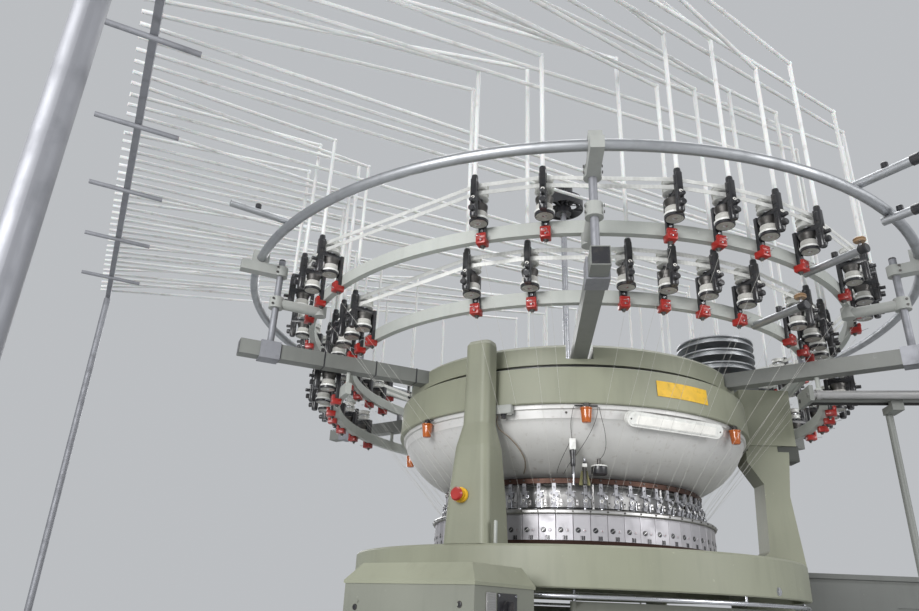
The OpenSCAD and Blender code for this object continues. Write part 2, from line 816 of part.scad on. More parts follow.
module feeder_housing() {
    color(black)
        difference() {
            union() {
                block(clamp_x, clamp_x + 12, 28, -ring_h / 2 - 3, arm_z + arm_t);
                block(clamp_x, spine_x + 22, 26, arm_z, arm_z + arm_t);
                block(spine_x, spine_x + 22, 22, 18, socket_top - 12);
                translate([riser_x, 0, 10]) cylinder(r = 11, h = socket_top - 10);
                translate([0, 0, 30]) bar_x(9, spine_x + 20, spine_x + 34);
                translate([0, 0, 52]) bar_x(6, spine_x + 20, spine_x + 38);
            }
            translate([feeder_reach, 0, arm_z - 1]) cylinder(d = shaft_d + 2 * seat, h = arm_t + 2);
            translate([riser_x, 0, socket_top - socket_depth]) cylinder(d = tube_d + 2 * seat, h = socket_depth + 1);
        }
}

// The turning part of a feeder: its spool, its shaft and the two pulleys that the belts drive
module feeder_spool() {
    z0 = arm_z - seat - spool_h;
    color(steel)
        translate([feeder_reach, 0, 0]) {
            difference() {
                union() {
                    translate([0, 0, z0]) cylinder(r = spool_r, h = 5);
                    translate([0, 0, z0 + 5]) cylinder(r = spool_r - 2, h = 4);
                    translate([0, 0, z0 + 9]) cylinder(r = spool_r - 5, h = spool_h - 16);
                    translate([0, 0, z0 + spool_h - 7]) cylinder(r = spool_r - 2, h = 7);
                }
                translate([0, 0, z0 - 1]) cylinder(r = spool_r - 5, h = 3);
            }
            translate([0, 0, arm_z - seat - 1]) cylinder(d = shaft_d, h = pulley_z2 + pulley_h + 4 - arm_z);
        }
    color(white)
        translate([feeder_reach, 0, 0])
            for (z = [pulley_z1, pulley_z2]) {
                translate([0, 0, z]) cylinder(r = pulley_r, h = pulley_h - 2);
                translate([0, 0, z]) cylinder(r = pulley_r - 7, h = pulley_h + (z == pulley_z1 ? 8 : 0));
            }
}

module stop_motion_unit() {
    top = unit_z;
    color(red) {
        difference() {
            block(0, clamp_x + 14, 24, top - 24, top);
            block(clamp_x + 6, clamp_x + 16, 12, top - 18, top - 10);
        }
        translate([tip_x, 0, nose_z]) cylinder(r1 = 3, r2 = 7, h = 10, $fn = 32);
    }
}

// The three tiers: each feeder stands at its own direction on its ring
module on_rings() {
    at(upper_azs, upper_r, upper_z) children();
    at(lower_azs, lower_r, lower_z) children();
    at(rear_azs, rear_r, rear_z) children();
}

module feeder_housings() on_rings() feeder_housing();

module feeder_spools() on_rings() feeder_spool();

module stop_motion_units() on_rings() stop_motion_unit();

// A toothed belt that touches the outer side of every pulley on its ring
module belt(r, z, azs) {
    x = r + feeder_reach + belt_r;
    outer = [for (a = azs) ring_point(x + belt_t, a)];
    inner = [for (a = azs) ring_point(x, a)];
    color(white)
        translate([0, 0, z])
            linear_extrude(belt_h)
                difference() {
                    polygon(outer);
                    polygon(inner);
                }
}

module drive_belts() {
    for (p = [pulley_z1, pulley_z2]) {
        belt(upper_r, upper_z + p, upper_azs);
        belt(lower_r, lower_z + p, lower_azs);
    }
}

// Yarn tubes

module yarn_tubes() {
    color(white)
        for (i = [0:len(risers) - 1]) {
            p = risers[i];
            foot = p[2] + socket_top - socket_depth + seat;
            top = beam_top + elbow_lift + elbow_rise * (p[0] + 1200) / 2400 + elbow_steps[i];
            c = [p[0], p[1], top];
            e2 = rail_a + rail_dir * (rail_start + tube_pitch * rank[i]);
            e = [e2[0], e2[1], rail_z + tube_d / 2 + 3.1];
            v = e - c;
            l = norm(v);
            reach = l + 40;
            translate([p[0], p[1], foot]) cylinder(d = tube_d, h = top - foot);
            translate(c) sphere(r = elbow_r);
            translate(c)
                rotate([0, acos(v[2] / l), atan2(v[1], v[0])])
                    translate([0, 0, elbow_r + seat]) cylinder(d = tube_d, h = reach - elbow_r - seat);
        }
}

module tube_rail() {
    a = atan2(rail_dir[1], rail_dir[0]);
    color(steel)
        translate([rail_a[0], rail_a[1], 0])
            rotate([0, 0, a]) {
                translate([0, -rail_w / 2, rail_z - rail_h]) cube([rail_len, rail_w, rail_h]);
                for (x = [30, rail_len - 30]) {
                    translate([x, 0, 0]) cylinder(r = rail_post_r, h = rail_z - rail_h);
                    translate([x, 0, 0]) cylinder(r = 70, h = 8);
                }
                for (x = [320:420:rail_len - 200])
                    translate([x, 0, rail_z - rail_h - 5])
                        rotate([90, 0, 0])
                            translate([0, 0, -120]) cylinder(r = 8, h = 240);
            }
}

// The yarns from the stop motion units to the guides
module yarns() {
    last = len(used_guides) - 1;
    color(white)
        for (i = [0:len(yarn_tops) - 1]) {
            q = yarn_tops[i];
            k = order(i) + 1;
            g = used_guides[k > last ? k - last - 1 : k];
            a = [q[0] * cos(q[1]), q[0] * sin(q[1]), q[2] - yarn_d];
            b = [(guide_ring_r + 3.2) * cos(g), (guide_ring_r + 3.2) * sin(g), guide_ring_z - 68];
            v = b - a;
            translate(a)
                rotate([0, acos(v[2] / norm(v)), atan2(v[1], v[0])])
                    cylinder(d = yarn_d, h = norm(v), $fn = 16);
        }
}

// Centre pole and fan

fan_z = plate_z + pole_h;

module centre_pole() {
    color(chrome) {
        translate([0, 0, plate_z]) cylinder(d = pole_d, h = pole_h);
        translate([0, 0, beam_z]) cylinder(d = pole_d + 40, h = 30);
    }
}

module fan_head() {
    color(black) {
        difference() {
            union() {
                translate([0, 0, fan_z]) cylinder(r = 34, h = 30);
                translate([0, 0, fan_z + 66]) cylinder(r = 42, h = 60);
                band(fan_r - 5, fan_r, fan_z + 20, fan_z + 64);
                for (a = [0:60:359])
                    rotate([0, 0, a]) block(28, fan_r - 2, 6, fan_z + 20, fan_z + 26);
                for (a = [0:120:359])
                    rotate([0, 0, a + 30]) {
                        block(fan_r - 8, fan_r, 10, fan_z + 60, fan_z + 84);
                        block(36, fan_r, 10, fan_z + 76, fan_z + 84);
                    }
            }
            translate([0, 0, fan_z + 22]) cylinder(r = 8 + run, h = 60);
        }
    }
}

module fan_rotor() {
    color(black)
        difference() {
            union() {
                translate([0, 0, fan_z + 22 + seat]) cylinder(r = 8, h = 59);
                translate([0, 0, fan_z + 34]) cylinder(r = 20, h = 24);
                for (a = [0:72:359])
                    rotate([0, 0, a])
                        translate([14, 0, fan_z + 46])
                            rotate([30, 0, 0])
                                translate([0, -11, -1.5]) cube([fan_r - 24, 22, 3]);
            }
        }
}

// Switch cabinet, hood and switches

switch_x = cabinet_front - 125;
switch_z = cabinet_top - 52;
switch_r = 11;

// The front face of a lower leg at height z
function leg_face(z) = base_r - 5 + 30 * (z - base_h) / (table_z - base_h);

// A bracket between the left front leg and the cabinet's back
module cabinet_bracket(z0, z1) {
    rotate([0, 0, column_azs[0]])
        translate([0, 40, 0])
            rotate([90, 0, 0])
                linear_extrude(80)
                    polygon([[leg_face(z0) + seat, z0], [cabinet_back + 40, z0], [cabinet_back + 40, z1],
                        [leg_face(z1) + seat, z1]]);
}

module switch_cabinet() {
    color(grey_paint)
        difference() {
            union() {
                rotate([0, 0, cabinet_az])
                    translate([0, cabinet_y, 0]) {
                        block(cabinet_back, cabinet_front, cabinet_w, cabinet_z, cabinet_top);
                        for (s = [-1, 1], z = [cabinet_top - 40, cabinet_z + 40])
                            translate([0, s * (cabinet_w / 2 - 45), z]) bar_x(4, cabinet_front, cabinet_front + 2);
                    }
                cabinet_bracket(cabinet_top - 200, cabinet_top - 120);
                cabinet_bracket(cabinet_z + 40, cabinet_z + 120);
            }
            rotate([0, 0, cabinet_az])
                translate([switch_x, cabinet_y + cabinet_w / 2 - 23, switch_z])
                    rotate([-90, 0, 0]) cylinder(r = switch_r + run, h = 24);
        }
}

// The hood over the cabinet: a rim and a low body with sloping sides
module cabinet_hood() {
    rim = 7;
    inset = 28;
    color(olive)
        rotate([0, 0, cabinet_az])
            translate([0, cabinet_y, cabinet_top]) {
                block(cabinet_back - 3, cabinet_front + 3, cabinet_w + 6, 0, rim);
                hull() {
                    block(cabinet_back - 3, cabinet_front + 3, cabinet_w + 6, rim, rim + 0.1);
                    block(cabinet_back + 10, cabinet_front - inset, cabinet_w - 2 * inset, hood_h - 0.1, hood_h);
                }
            }
}

// The rotary main switch in the cabinet's right side
module main_switch() {
    color(black)
        rotate([0, 0, cabinet_az])
            translate([switch_x, cabinet_y + cabinet_w / 2, switch_z])
                rotate([-90, 0, 0]) {
                    translate([0, 0, -23 + seat]) cylinder(r = switch_r, h = 24);
                    translate([0, 0, seat]) cylinder(r = 24, h = 7);
                    translate([-6, -22, 7]) cube([12, 44, 15]);
                }
}

stop_r = column_r + 24;
stop_z = table_top + 128;

module stop_button_base() {
    color(yellow)
        rotate([0, 0, column_azs[0]])
            translate([stop_r + 11.5, -12, stop_z])
                rotate([0, 90, 0])
                    difference() {
                        union() {
                            cylinder(r = 21, h = 9);
                            cylinder(r = 14, h = 16);
                        }
                        translate([0, 0, 2]) cylinder(r = 8 + run, h = 20);
                    }
}

module stop_button() {
    color(red)
        rotate([0, 0, column_azs[0]])
            translate([stop_r + 11.5, -12, stop_z])
                rotate([0, 90, 0]) {
                    translate([0, 0, 2 + stop_travel + seat]) cylinder(r = 8, h = 16);
                    translate([0, 0, 16 + stop_travel + seat]) cylinder(r1 = 17, r2 = 19, h = 6, $fn = 48);
                    translate([0, 0, 22 + stop_travel + seat]) cylinder(r1 = 19, r2 = 15, h = 6, $fn = 48);
                }
}

// Electrical cabinet

module electrical_cabinet() {
    z0 = plinth_h;
    z1 = plinth_h + box_h;
    color(grey_paint)
        translate([box_x, box_y, 0]) {
            difference() {
                translate([0, 0, z0]) cube([box_w, box_d, box_h]);
                translate([box_t, -1, z0 + box_t]) cube([box_w - 2 * box_t, box_d - box_t + 1, box_h - 2 * box_t]);
            }
            translate([30, 30, 0]) cube([box_w - 60, box_d - 60, z0]);
            difference() {
                translate([-6, -8, z1]) cube([box_w + 12, box_d + 14, 18]);
                translate([20, 20, z1 + 12]) cube([box_w - 40, box_d - 40, 10]);
            }
            translate([box_t + 40, box_d - box_t - 60, z0 + 200]) cube([box_w - 2 * box_t - 80, 60, box_h - 400]);
            translate([-knuckle_r, -box_t / 2 - seat, z0]) cylinder(r = hinge_r, h = box_h);
            for (z = [z0, z1 - 12])
                translate([-2 * knuckle_r, -box_t / 2 - seat - knuckle_r, z]) cube([2 * knuckle_r + 2, 2 * knuckle_r + 8, 12]);
        }
}

module electrical_cabinet_door() {
    color(grey_paint)
        translate([box_x, box_y, plinth_h]) {
            difference() {
                union() {
                    translate([2, -box_t - seat, 14]) cube([box_w - 4, box_t, box_h - 28]);
                    translate([-knuckle_r, -box_t / 2 - seat, 12 + seat]) cylinder(r = knuckle_r, h = box_h - 24 - 2 * seat);
                    translate([-knuckle_r, -box_t - seat, 14]) cube([knuckle_r + 4, 6, box_h - 28]);
                    translate([box_w - 60, -box_t - seat - 14, box_h / 2 - 60]) cube([24, 15, 120]);
                }
                translate([-knuckle_r, -box_t / 2 - seat, 0]) cylinder(r = hinge_r + run, h = box_h);
                for (k = [0:7])
                    translate([box_w - 240, -box_t - seat - 1, box_h - 160 + k * 14 - 40]) cube([190, 5, 6]);
            }
        }
}

// Needle cylinder, dial, gear and take-down

module needle_cylinder() {
    groove = 2;
    color(chrome)
        rotate_extrude($fn = 180)
            polygon([[cyl_r - cyl_wall, cyl_z], [cyl_r, cyl_z], [cyl_r, flange_z], [flange_r, flange_z],
                [flange_r, flange_z + flange_h], [cyl_r, flange_z + flange_h], [cyl_r, cyl_top - 30],
                [cyl_r - groove, cyl_top - 28], [cyl_r - groove, cyl_top - 20], [cyl_r, cyl_top - 18],
                [cyl_r, cyl_top - 2], [cyl_r - 2, cyl_top], [cyl_r - 10, cyl_top], [cyl_r - cyl_wall, cyl_top - 30]]);
}

module dial() {
    color(chrome)
        rotate_extrude($fn = 180)
            polygon([[0, dial_z], [dial_r, dial_z], [dial_r, dial_z + 4], [dial_r - 8, dial_z + dial_t], [dial_shaft_r + 30, dial_z + dial_t],
                [dial_shaft_r + 22, dial_z + dial_t + 1], [dial_shaft_r, dial_z + dial_t + 1], [dial_shaft_r, drum_top - 30],
                [0, drum_top - 30]]);
}

// The outline of a gear whose teeth have straight flanks
function gear_outline(teeth, r, add, ded, turn) = [for (i = [0:teeth - 1], k = [0:3])
    let (a = turn + 360 / teeth * (i + [-0.30, -0.13, 0.13, 0.30][k]), q = [r - ded, r + add, r + add, r - ded][k])
        ring_point(q, a)];

module drive_gear() {
    color(steel)
        rotate([0, 0, drive_az])
            translate([0, 0, gear_z])
                difference() {
                    linear_extrude(gear_h - run) polygon(gear_outline(gear_teeth, gear_r, 5, 7, 0));
                    translate([0, 0, -1]) cylinder(r = cyl_r - cyl_wall, h = gear_h + 2, $fn = 360);
                }
}

module drive_pinion() {
    half_tooth = 180 / pinion_teeth;
    color(steel)
        rotate([0, 0, drive_az])
            translate([drive_r, 0, 0]) {
                translate([0, 0, gear_z])
                    linear_extrude(gear_h - 2) polygon(gear_outline(pinion_teeth, pinion_r, 5, 7, 180 + half_tooth));
                translate([0, 0, motor_top + seat]) cylinder(r = 15, h = gear_z - motor_top - seat);
                translate([0, 0, motor_top - 40]) cylinder(r = 12, h = 40 + seat);
            }
}

motor_top = 850;
motor_r = 72;

module drive_motor() {
    color(grey_paint)
        rotate([0, 0, drive_az])
            difference() {
                union() {
                    translate([drive_r, 0, motor_top - 240]) cylinder(r = motor_r, h = 228);
                    for (a = [0:30:359])
                        translate([drive_r, 0, motor_top - 210])
                            rotate([0, 0, a]) block(motor_r - 4, motor_r + 5, 4, 0, 150);
                    translate([0, 0, 0]) block(drive_r - motor_r - 2, base_r - 100 - seat, 140, motor_top - 14, motor_top);
                    for (s = [-1, 1])
                        translate([0, s * 62, 0]) block(drive_r + 60, base_r - 100 - seat, 10, motor_top - 120, motor_top - 6);
                }
                translate([drive_r, 0, motor_top - 60]) cylinder(r = 12 + run, h = 80);
            }
}

module take_down_frame() {
    top_z = gear_z - frame_ring_h;
    color(olive)
        difference() {
            union() {
                band(290, gear_r - 11, top_z, gear_z);
                for (s = [0, 180])
                    rotate([0, 0, s]) {
                        block(plate_x, plate_x + side_t, 2 * side_hw, foot_z, top_z + 2);
                        block(plate_x, plate_x + 30, 40, nip_z + 120, top_z + 2);
                    }
                block(-plate_x - side_t, plate_x + side_t, 80, foot_z, foot_z + 24);
                translate([0, 0, base_h + seat]) cylinder(r = 32, h = foot_z - base_h);
                translate([0, 0, foot_z - 60]) cylinder(r = 70, h = 62);
            }
            for (y = [-nip_r - nip_gap / 2, nip_r + nip_gap / 2])
                translate([0, y, nip_z]) bar_x(journal_r + run, -plate_x - side_t - 20, plate_x + side_t + 20);
            translate([0, 0, cloth_z]) bar_x(journal_r + run, -plate_x - side_t - 20, plate_x + side_t + 20);
        }
}

module roller(r) {
    bar_x(r, -roller_l / 2 + 0.5, roller_l / 2 - 0.5);
    bar_x(journal_r, -plate_x - side_t, plate_x + side_t);
}

module front_nip_roller() {
    color(black) translate([0, -nip_r - nip_gap / 2, nip_z]) roller(nip_r);
}

module rear_nip_roller() {
    color(black) translate([0, nip_r + nip_gap / 2, nip_z]) roller(nip_r);
}

module cloth_roller() {
    color(chrome) translate([0, 0, cloth_z]) roller(cloth_roller_r);
}

// Quality wheels on the top cover

quality_r = 650;
quality_shaft_r = 10;
wheel_r = 150;

module quality_wheels() {
    z0 = cover_top + 80;
    color(steel)
        rotate([0, 0, 11.5])
            translate([quality_r, 0, 0]) {
                translate([0, 0, cover_top + 64]) cylinder(r = quality_shaft_r, h = 250);
                for (i = [0:3])
                    translate([0, 0, z0 + 12 + i * 54]) {
                        cylinder(r = wheel_r, h = 5);
                        translate([0, 0, 5]) cylinder(r = wheel_r - 14, h = 16);
                        translate([0, 0, 21]) cylinder(r = wheel_r, h = 5);
                        translate([0, 0, 26]) cylinder(r = 24, h = 28);
                    }
                translate([0, 0, z0 + seat]) cylinder(r = 20, h = 12);
            }
}

// Elastane unit: two driven rollers in a frame on a floor pole, under the right beam

unit_place = [850, -650];
unit_az = -8;
unit_l = 480;
unit_h = 1650;
unit_y = 35;
unit_roller_r = 12;
unit_shaft_r = 6;

module at_unit() {
    translate([unit_place[0], unit_place[1], 0])
        rotate([0, 0, unit_az])
            children();
}

module elastane_bracket() {
    color(grey_paint)
        at_unit() {
            for (s = [-1, 1])
                difference() {
                    block(min(s * unit_l / 2, s * (unit_l / 2 + 12)), max(s * unit_l / 2, s * (unit_l / 2 + 12)),
                        2 * unit_y + 36, unit_h - 22, unit_h + 24);
                    for (y = [-unit_y, unit_y])
                        translate([0, y, unit_h]) bar_x(unit_shaft_r + run, -unit_l, unit_l);
                }
            block(-unit_l / 2 - 1, unit_l / 2 + 1, 24, unit_h - 10, unit_h + 10);
            translate([0, 22, 0]) block(-16, 16, 68, unit_h - 38, unit_h - 18);
            block(-16, 16, 20, unit_h - 20, unit_h - 8);
            translate([0, 54, 0]) {
                cylinder(r = 10, h = unit_h - 18);
                cylinder(r = 55, h = 8);
            }
        }
}

module unit_roller(y) {
    at_unit()
        translate([0, y, unit_h]) {
            bar_x(unit_roller_r, -unit_l / 2 + seat, unit_l / 2 - seat);
            bar_x(unit_shaft_r, -unit_l / 2 - 14, unit_l / 2 + 14);
            bar_x(unit_roller_r + 3, -unit_l / 2 + 10, -unit_l / 2 + 22);
            bar_x(unit_roller_r + 3, unit_l / 2 - 22, unit_l / 2 - 10);
        }
}

module front_elastane_roller() color(black) unit_roller(-unit_y);
module rear_elastane_roller() color(black) unit_roller(unit_y);

base_frame();
lower_legs();
table_ring();
guard_rail();
front_guard_door();
right_guard_door();
left_guard_door();
cam_base_ring();
cam_boxes();
cap_ring();
yarn_guide_ring();
yarn_guides();
front_column();
right_column();
rear_column();
top_drum();
drum_spacer();
top_cover();
dial_housing();
dish_shell();
work_lamp();
signal_lamps();
head_instruments();
radial_beams();
ring_posts();
ring_arms();
top_ring();
upper_feeder_ring();
lower_feeder_ring();
rear_feeder_ring();
feeder_housings();
drive_belts();
feeder_spools();
stop_motion_units();
yarn_tubes();
tube_rail();
yarns();
centre_pole();
fan_head();
fan_rotor();
switch_cabinet();
cabinet_hood();
main_switch();
stop_button_base();
stop_button();
electrical_cabinet();
electrical_cabinet_door();
needle_cylinder();
dial();
drive_gear();
take_down_frame();
front_nip_roller();
rear_nip_roller();
cloth_roller();
drive_motor();
drive_pinion();
quality_wheels();
elastane_bracket();
front_elastane_roller();
rear_elastane_roller();
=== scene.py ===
# Circular knitting machine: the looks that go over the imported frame
from math import cos, pi, radians, sin

import bpy
from mathutils import Euler, Matrix, Vector


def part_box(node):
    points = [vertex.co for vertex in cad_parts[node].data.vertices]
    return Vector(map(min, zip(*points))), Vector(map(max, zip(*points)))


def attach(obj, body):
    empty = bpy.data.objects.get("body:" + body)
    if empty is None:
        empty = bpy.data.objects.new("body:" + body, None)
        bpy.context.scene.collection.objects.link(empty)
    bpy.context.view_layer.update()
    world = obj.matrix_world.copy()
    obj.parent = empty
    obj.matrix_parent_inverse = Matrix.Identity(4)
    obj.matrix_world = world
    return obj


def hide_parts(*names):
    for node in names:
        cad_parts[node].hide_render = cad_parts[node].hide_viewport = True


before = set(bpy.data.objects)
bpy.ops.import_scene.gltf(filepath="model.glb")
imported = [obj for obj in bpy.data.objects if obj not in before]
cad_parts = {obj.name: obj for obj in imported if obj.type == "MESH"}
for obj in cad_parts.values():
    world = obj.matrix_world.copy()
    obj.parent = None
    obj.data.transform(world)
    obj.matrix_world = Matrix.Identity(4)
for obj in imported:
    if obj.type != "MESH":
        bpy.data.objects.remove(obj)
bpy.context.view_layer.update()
ops = bpy.ops


def tell(stage):
    print("knitting machine:", stage, flush=True)


# Camera: low in front of the machine, looking up at the drum
view = {"place": (-0.4303, -2.64, 1.03), "tilt": 23.34, "roll": 2.31, "lens": 27.81}
eye = bpy.data.cameras.new("eye")
eye.sensor_width = 36
eye.lens = view["lens"]
eye.clip_end = 60
eyeObject = bpy.data.objects.new("eye", eye)
bpy.context.collection.objects.link(eyeObject)
aim = Euler((radians(90 + view["tilt"]), 0, 0)).to_matrix() @ Matrix.Rotation(radians(view["roll"]), 3, "Z")
eyeObject.matrix_world = Matrix.Translation(view["place"]) @ aim.to_4x4()
bpy.context.scene.camera = eyeObject
tell("camera")


# Finishes. A Wire is one output socket, and Python's operators on it add Math nodes.
class Wire:
    def __init__(self, finish, socket):
        self.finish = finish
        self.socket = socket

    def calc(self, operation, other=0.0):
        return self.finish.node("ShaderNodeMath", {"operation": operation}, {0: self, 1: other})

    def __add__(self, other): return self.calc("ADD", other)
    def __radd__(self, other): return self.calc("ADD", other)
    def __mul__(self, other): return self.calc("MULTIPLY", other)
    def __pow__(self, other): return self.calc("POWER", other)


class Finish:
    def __init__(self, name):
        self.material = bpy.data.materials.new(name)
        self.material.use_nodes = True
        self.tree = self.material.node_tree
        self.tree.nodes.clear()
        self.shader = self.tree.nodes.new("ShaderNodeBsdfPrincipled")
        output = self.tree.nodes.new("ShaderNodeOutputMaterial")
        self.tree.links.new(self.shader.outputs[0], output.inputs[0])
        self.place = self.node("ShaderNodeTexCoord", out="Object")

    def feed(self, socket, value):
        if isinstance(value, Wire):
            self.tree.links.new(value.socket, socket)
        else:
            socket.default_value = value

    def node(self, kind, settings=None, inputs=None, out=0):
        made = self.tree.nodes.new(kind)
        for key, value in (settings or {}).items():
            setattr(made, key, value)
        for key, value in (inputs or {}).items():
            self.feed(made.inputs[key], value)
        return Wire(self, made.outputs[out])

    def axis(self, letter, where=None):
        return self.node("ShaderNodeSeparateXYZ", {}, {0: where or self.place}, letter)

    def point(self, x, y, z):
        return self.node("ShaderNodeCombineXYZ", {}, {0: x, 1: y, 2: z})

    def noise(self, scale, detail=3.0, where=None, harsh=0.5):
        return self.node("ShaderNodeTexNoise", {},
                         {"Vector": where or self.place, "Scale": scale, "Detail": detail, "Roughness": harsh})

    def between(self, value, low, high):  # 0 below low, 1 above high
        return self.node("ShaderNodeMapRange", {}, {0: value, 1: low, 2: high, 3: 0.0, 4: 1.0})

    def mix(self, factor, first, second):
        return self.node("ShaderNodeMix", {"data_type": "RGBA"}, {0: factor, 6: first, 7: second}, 2)

    def bump(self, height, strength, depth):
        return self.node("ShaderNodeBump", {}, {"Strength": strength, "Distance": depth, "Height": height})

    def upward(self):
        normal = self.node("ShaderNodeNewGeometry", out="Normal")
        return self.between(self.axis("Z", normal), 0.55, 0.95)

    def radius(self):
        return (self.axis("X") ** 2 + self.axis("Y") ** 2) ** 0.5

    def done(self, **sockets):
        for key, value in sockets.items():
            self.feed(self.shader.inputs[key.replace("_", " ")], value)
        return self.material


def tint(red, green, blue):
    levels = [((c / 255 + 0.055) / 1.055) ** 2.4 if c > 10 else c / 255 / 12.92 for c in (red, green, blue)]
    return (*levels, 1)


def shade(colour, k):
    return (colour[0] * k, colour[1] * k, colour[2] * k, 1)


def paint(name, colour, rough=0.38, peel=0.25, cast=0.0, dust=0.35):
    f = Finish(name)
    cloud = f.noise(2.6, 4)
    fleck = f.noise(160, 3)
    streak = f.noise(1, 3, f.point(f.axis("X") * 34, f.axis("Y") * 34, f.axis("Z") * 4))
    base = f.mix(f.between(cloud, 0.3, 0.7), shade(colour, 0.86), shade(colour, 1.1))
    base = f.mix(f.between(streak, 0.52, 0.75) * 0.22, base, shade(colour, 0.6))
    base = f.mix(f.between(f.noise(46, 5, harsh=0.7), 0.68, 0.72) * 0.35, base, shade(colour, 1.7))
    base = f.mix(f.upward() * f.between(f.noise(9, 5), 0.3, 0.75) * dust, base, tint(168, 165, 156))
    height = f.noise(420, 2) * peel + f.noise(95, 4) * cast
    return f.done(Base_Color=base, Roughness=rough + cloud * 0.12 + fleck * 0.1 + f.upward() * 0.15,
                  Normal=f.bump(height, 0.5, 0.0006), Specular_IOR_Level=0.5)


def turnedMetal(name, colour, rough=0.25, lines=420, depth=0.00012, stain=0.4, metal=1.0):
    f = Finish(name)
    line = f.noise(1, 2, f.point(f.radius() * lines, 0.0, f.axis("Z") * lines))
    blot = f.noise(14, 5)
    base = f.mix(f.between(blot, 0.42, 0.72) * stain, colour, shade(colour, 0.55))
    base = f.mix(f.between(f.noise(60, 4), 0.6, 0.8) * 0.3, base, shade(tint(120, 92, 64), 0.8))
    return f.done(Base_Color=base, Metallic=metal, Roughness=rough + line * 0.16 + f.between(blot, 0.4, 0.8) * 0.18,
                  Normal=f.bump(line, 0.35, depth))


def barMetal(name, colour, rough=0.2, scratch=0.5, grime=0.35, metal=1.0):
    f = Finish(name)
    fine = f.noise(1, 3, f.point(f.axis("X") * 700, f.axis("Y") * 700, f.axis("Z") * 60))
    blot = f.noise(22, 5)
    base = f.mix(f.between(blot, 0.5, 0.75) * grime, colour, shade(colour, 0.42))
    return f.done(Base_Color=base, Metallic=metal, Roughness=rough + fine * 0.14 + f.between(blot, 0.4, 0.8) * 0.2,
                  Normal=f.bump(fine, scratch * 0.4, 0.00008))


def plastic(name, colour, rough=0.35, grime=0.3, grain=0.3, coat=0.0):
    f = Finish(name)
    cloud = f.noise(30, 4)
    dirt = f.between(f.noise(75, 5), 0.5, 0.78)
    base = f.mix(f.between(cloud, 0.3, 0.7), shade(colour, 0.9), shade(colour, 1.08))
    base = f.mix(dirt * grime, base, shade(tint(92, 84, 72), 0.8))
    base = f.mix(f.upward() * f.noise(60, 3) * 0.25, base, tint(150, 148, 142))
    return f.done(Base_Color=base, Roughness=rough + cloud * 0.14 + dirt * 0.15, Coat_Weight=coat,
                  Normal=f.bump(f.noise(700, 2), grain, 0.00025))


def tubePlastic(name, colour):  # drawn tube: fine lines along it, a milky edge
    f = Finish(name)
    cloud = f.noise(6, 4)
    line = f.noise(1, 3, f.point(f.axis("X") * 900, f.axis("Y") * 900, f.axis("Z") * 20))
    base = f.mix(f.between(cloud, 0.3, 0.7), shade(colour, 0.84), colour)
    base = f.mix(f.between(f.noise(26, 4), 0.58, 0.75) * 0.35, base, tint(140, 134, 122))
    return f.done(Base_Color=base, Roughness=0.3 + cloud * 0.15, Subsurface_Weight=0.12, Subsurface_Scale=0.004,
                  Normal=f.bump(line, 0.2, 0.0001))


def lensPlastic(name, colour, glow=0.0):
    f = Finish(name)
    rib = f.noise(1, 1, f.point(f.axis("X") * 300, f.axis("Y") * 300, 0.0))
    base = f.mix(f.noise(120, 3), shade(colour, 0.8), shade(colour, 1.2))
    return f.done(Base_Color=base, Roughness=0.16 + rib * 0.12, Coat_Weight=0.6, Transmission_Weight=0.25,
                  Emission_Color=base, Emission_Strength=glow, Normal=f.bump(rib, 0.3, 0.0006))


def beltFinish(name, colour, pitch=0.006):  # white belt with cross ribs and a dirty running side
    f = Finish(name)
    turn = f.node("ShaderNodeMath", {"operation": "ARCTAN2"}, {0: f.axis("Y"), 1: f.axis("X")})
    tooth = (turn * (6.2832 * 1.02 / pitch / 2)).calc("SINE")
    soil = f.between(f.noise(18, 5), 0.45, 0.75)
    base = f.mix(soil * 0.5, colour, shade(colour, 0.55))
    return f.done(Base_Color=base, Roughness=0.55 + soil * 0.2, Normal=f.bump(tooth, 0.5, 0.0005))


def yarnFinish(name, colour):
    f = Finish(name)
    ply = f.noise(2200, 2)
    base = f.mix(ply, shade(colour, 0.75), colour)
    return f.done(Base_Color=base, Roughness=0.85, Sheen_Weight=0.4, Normal=f.bump(ply, 0.6, 0.0003))


def rubber(name, colour):
    f = Finish(name)
    worn = f.between(f.noise(40, 4), 0.4, 0.7)
    base = f.mix(worn * 0.4, colour, tint(70, 68, 66))
    return f.done(Base_Color=base, Roughness=0.7 + worn * 0.15, Normal=f.bump(f.noise(500, 3), 0.4, 0.0003))


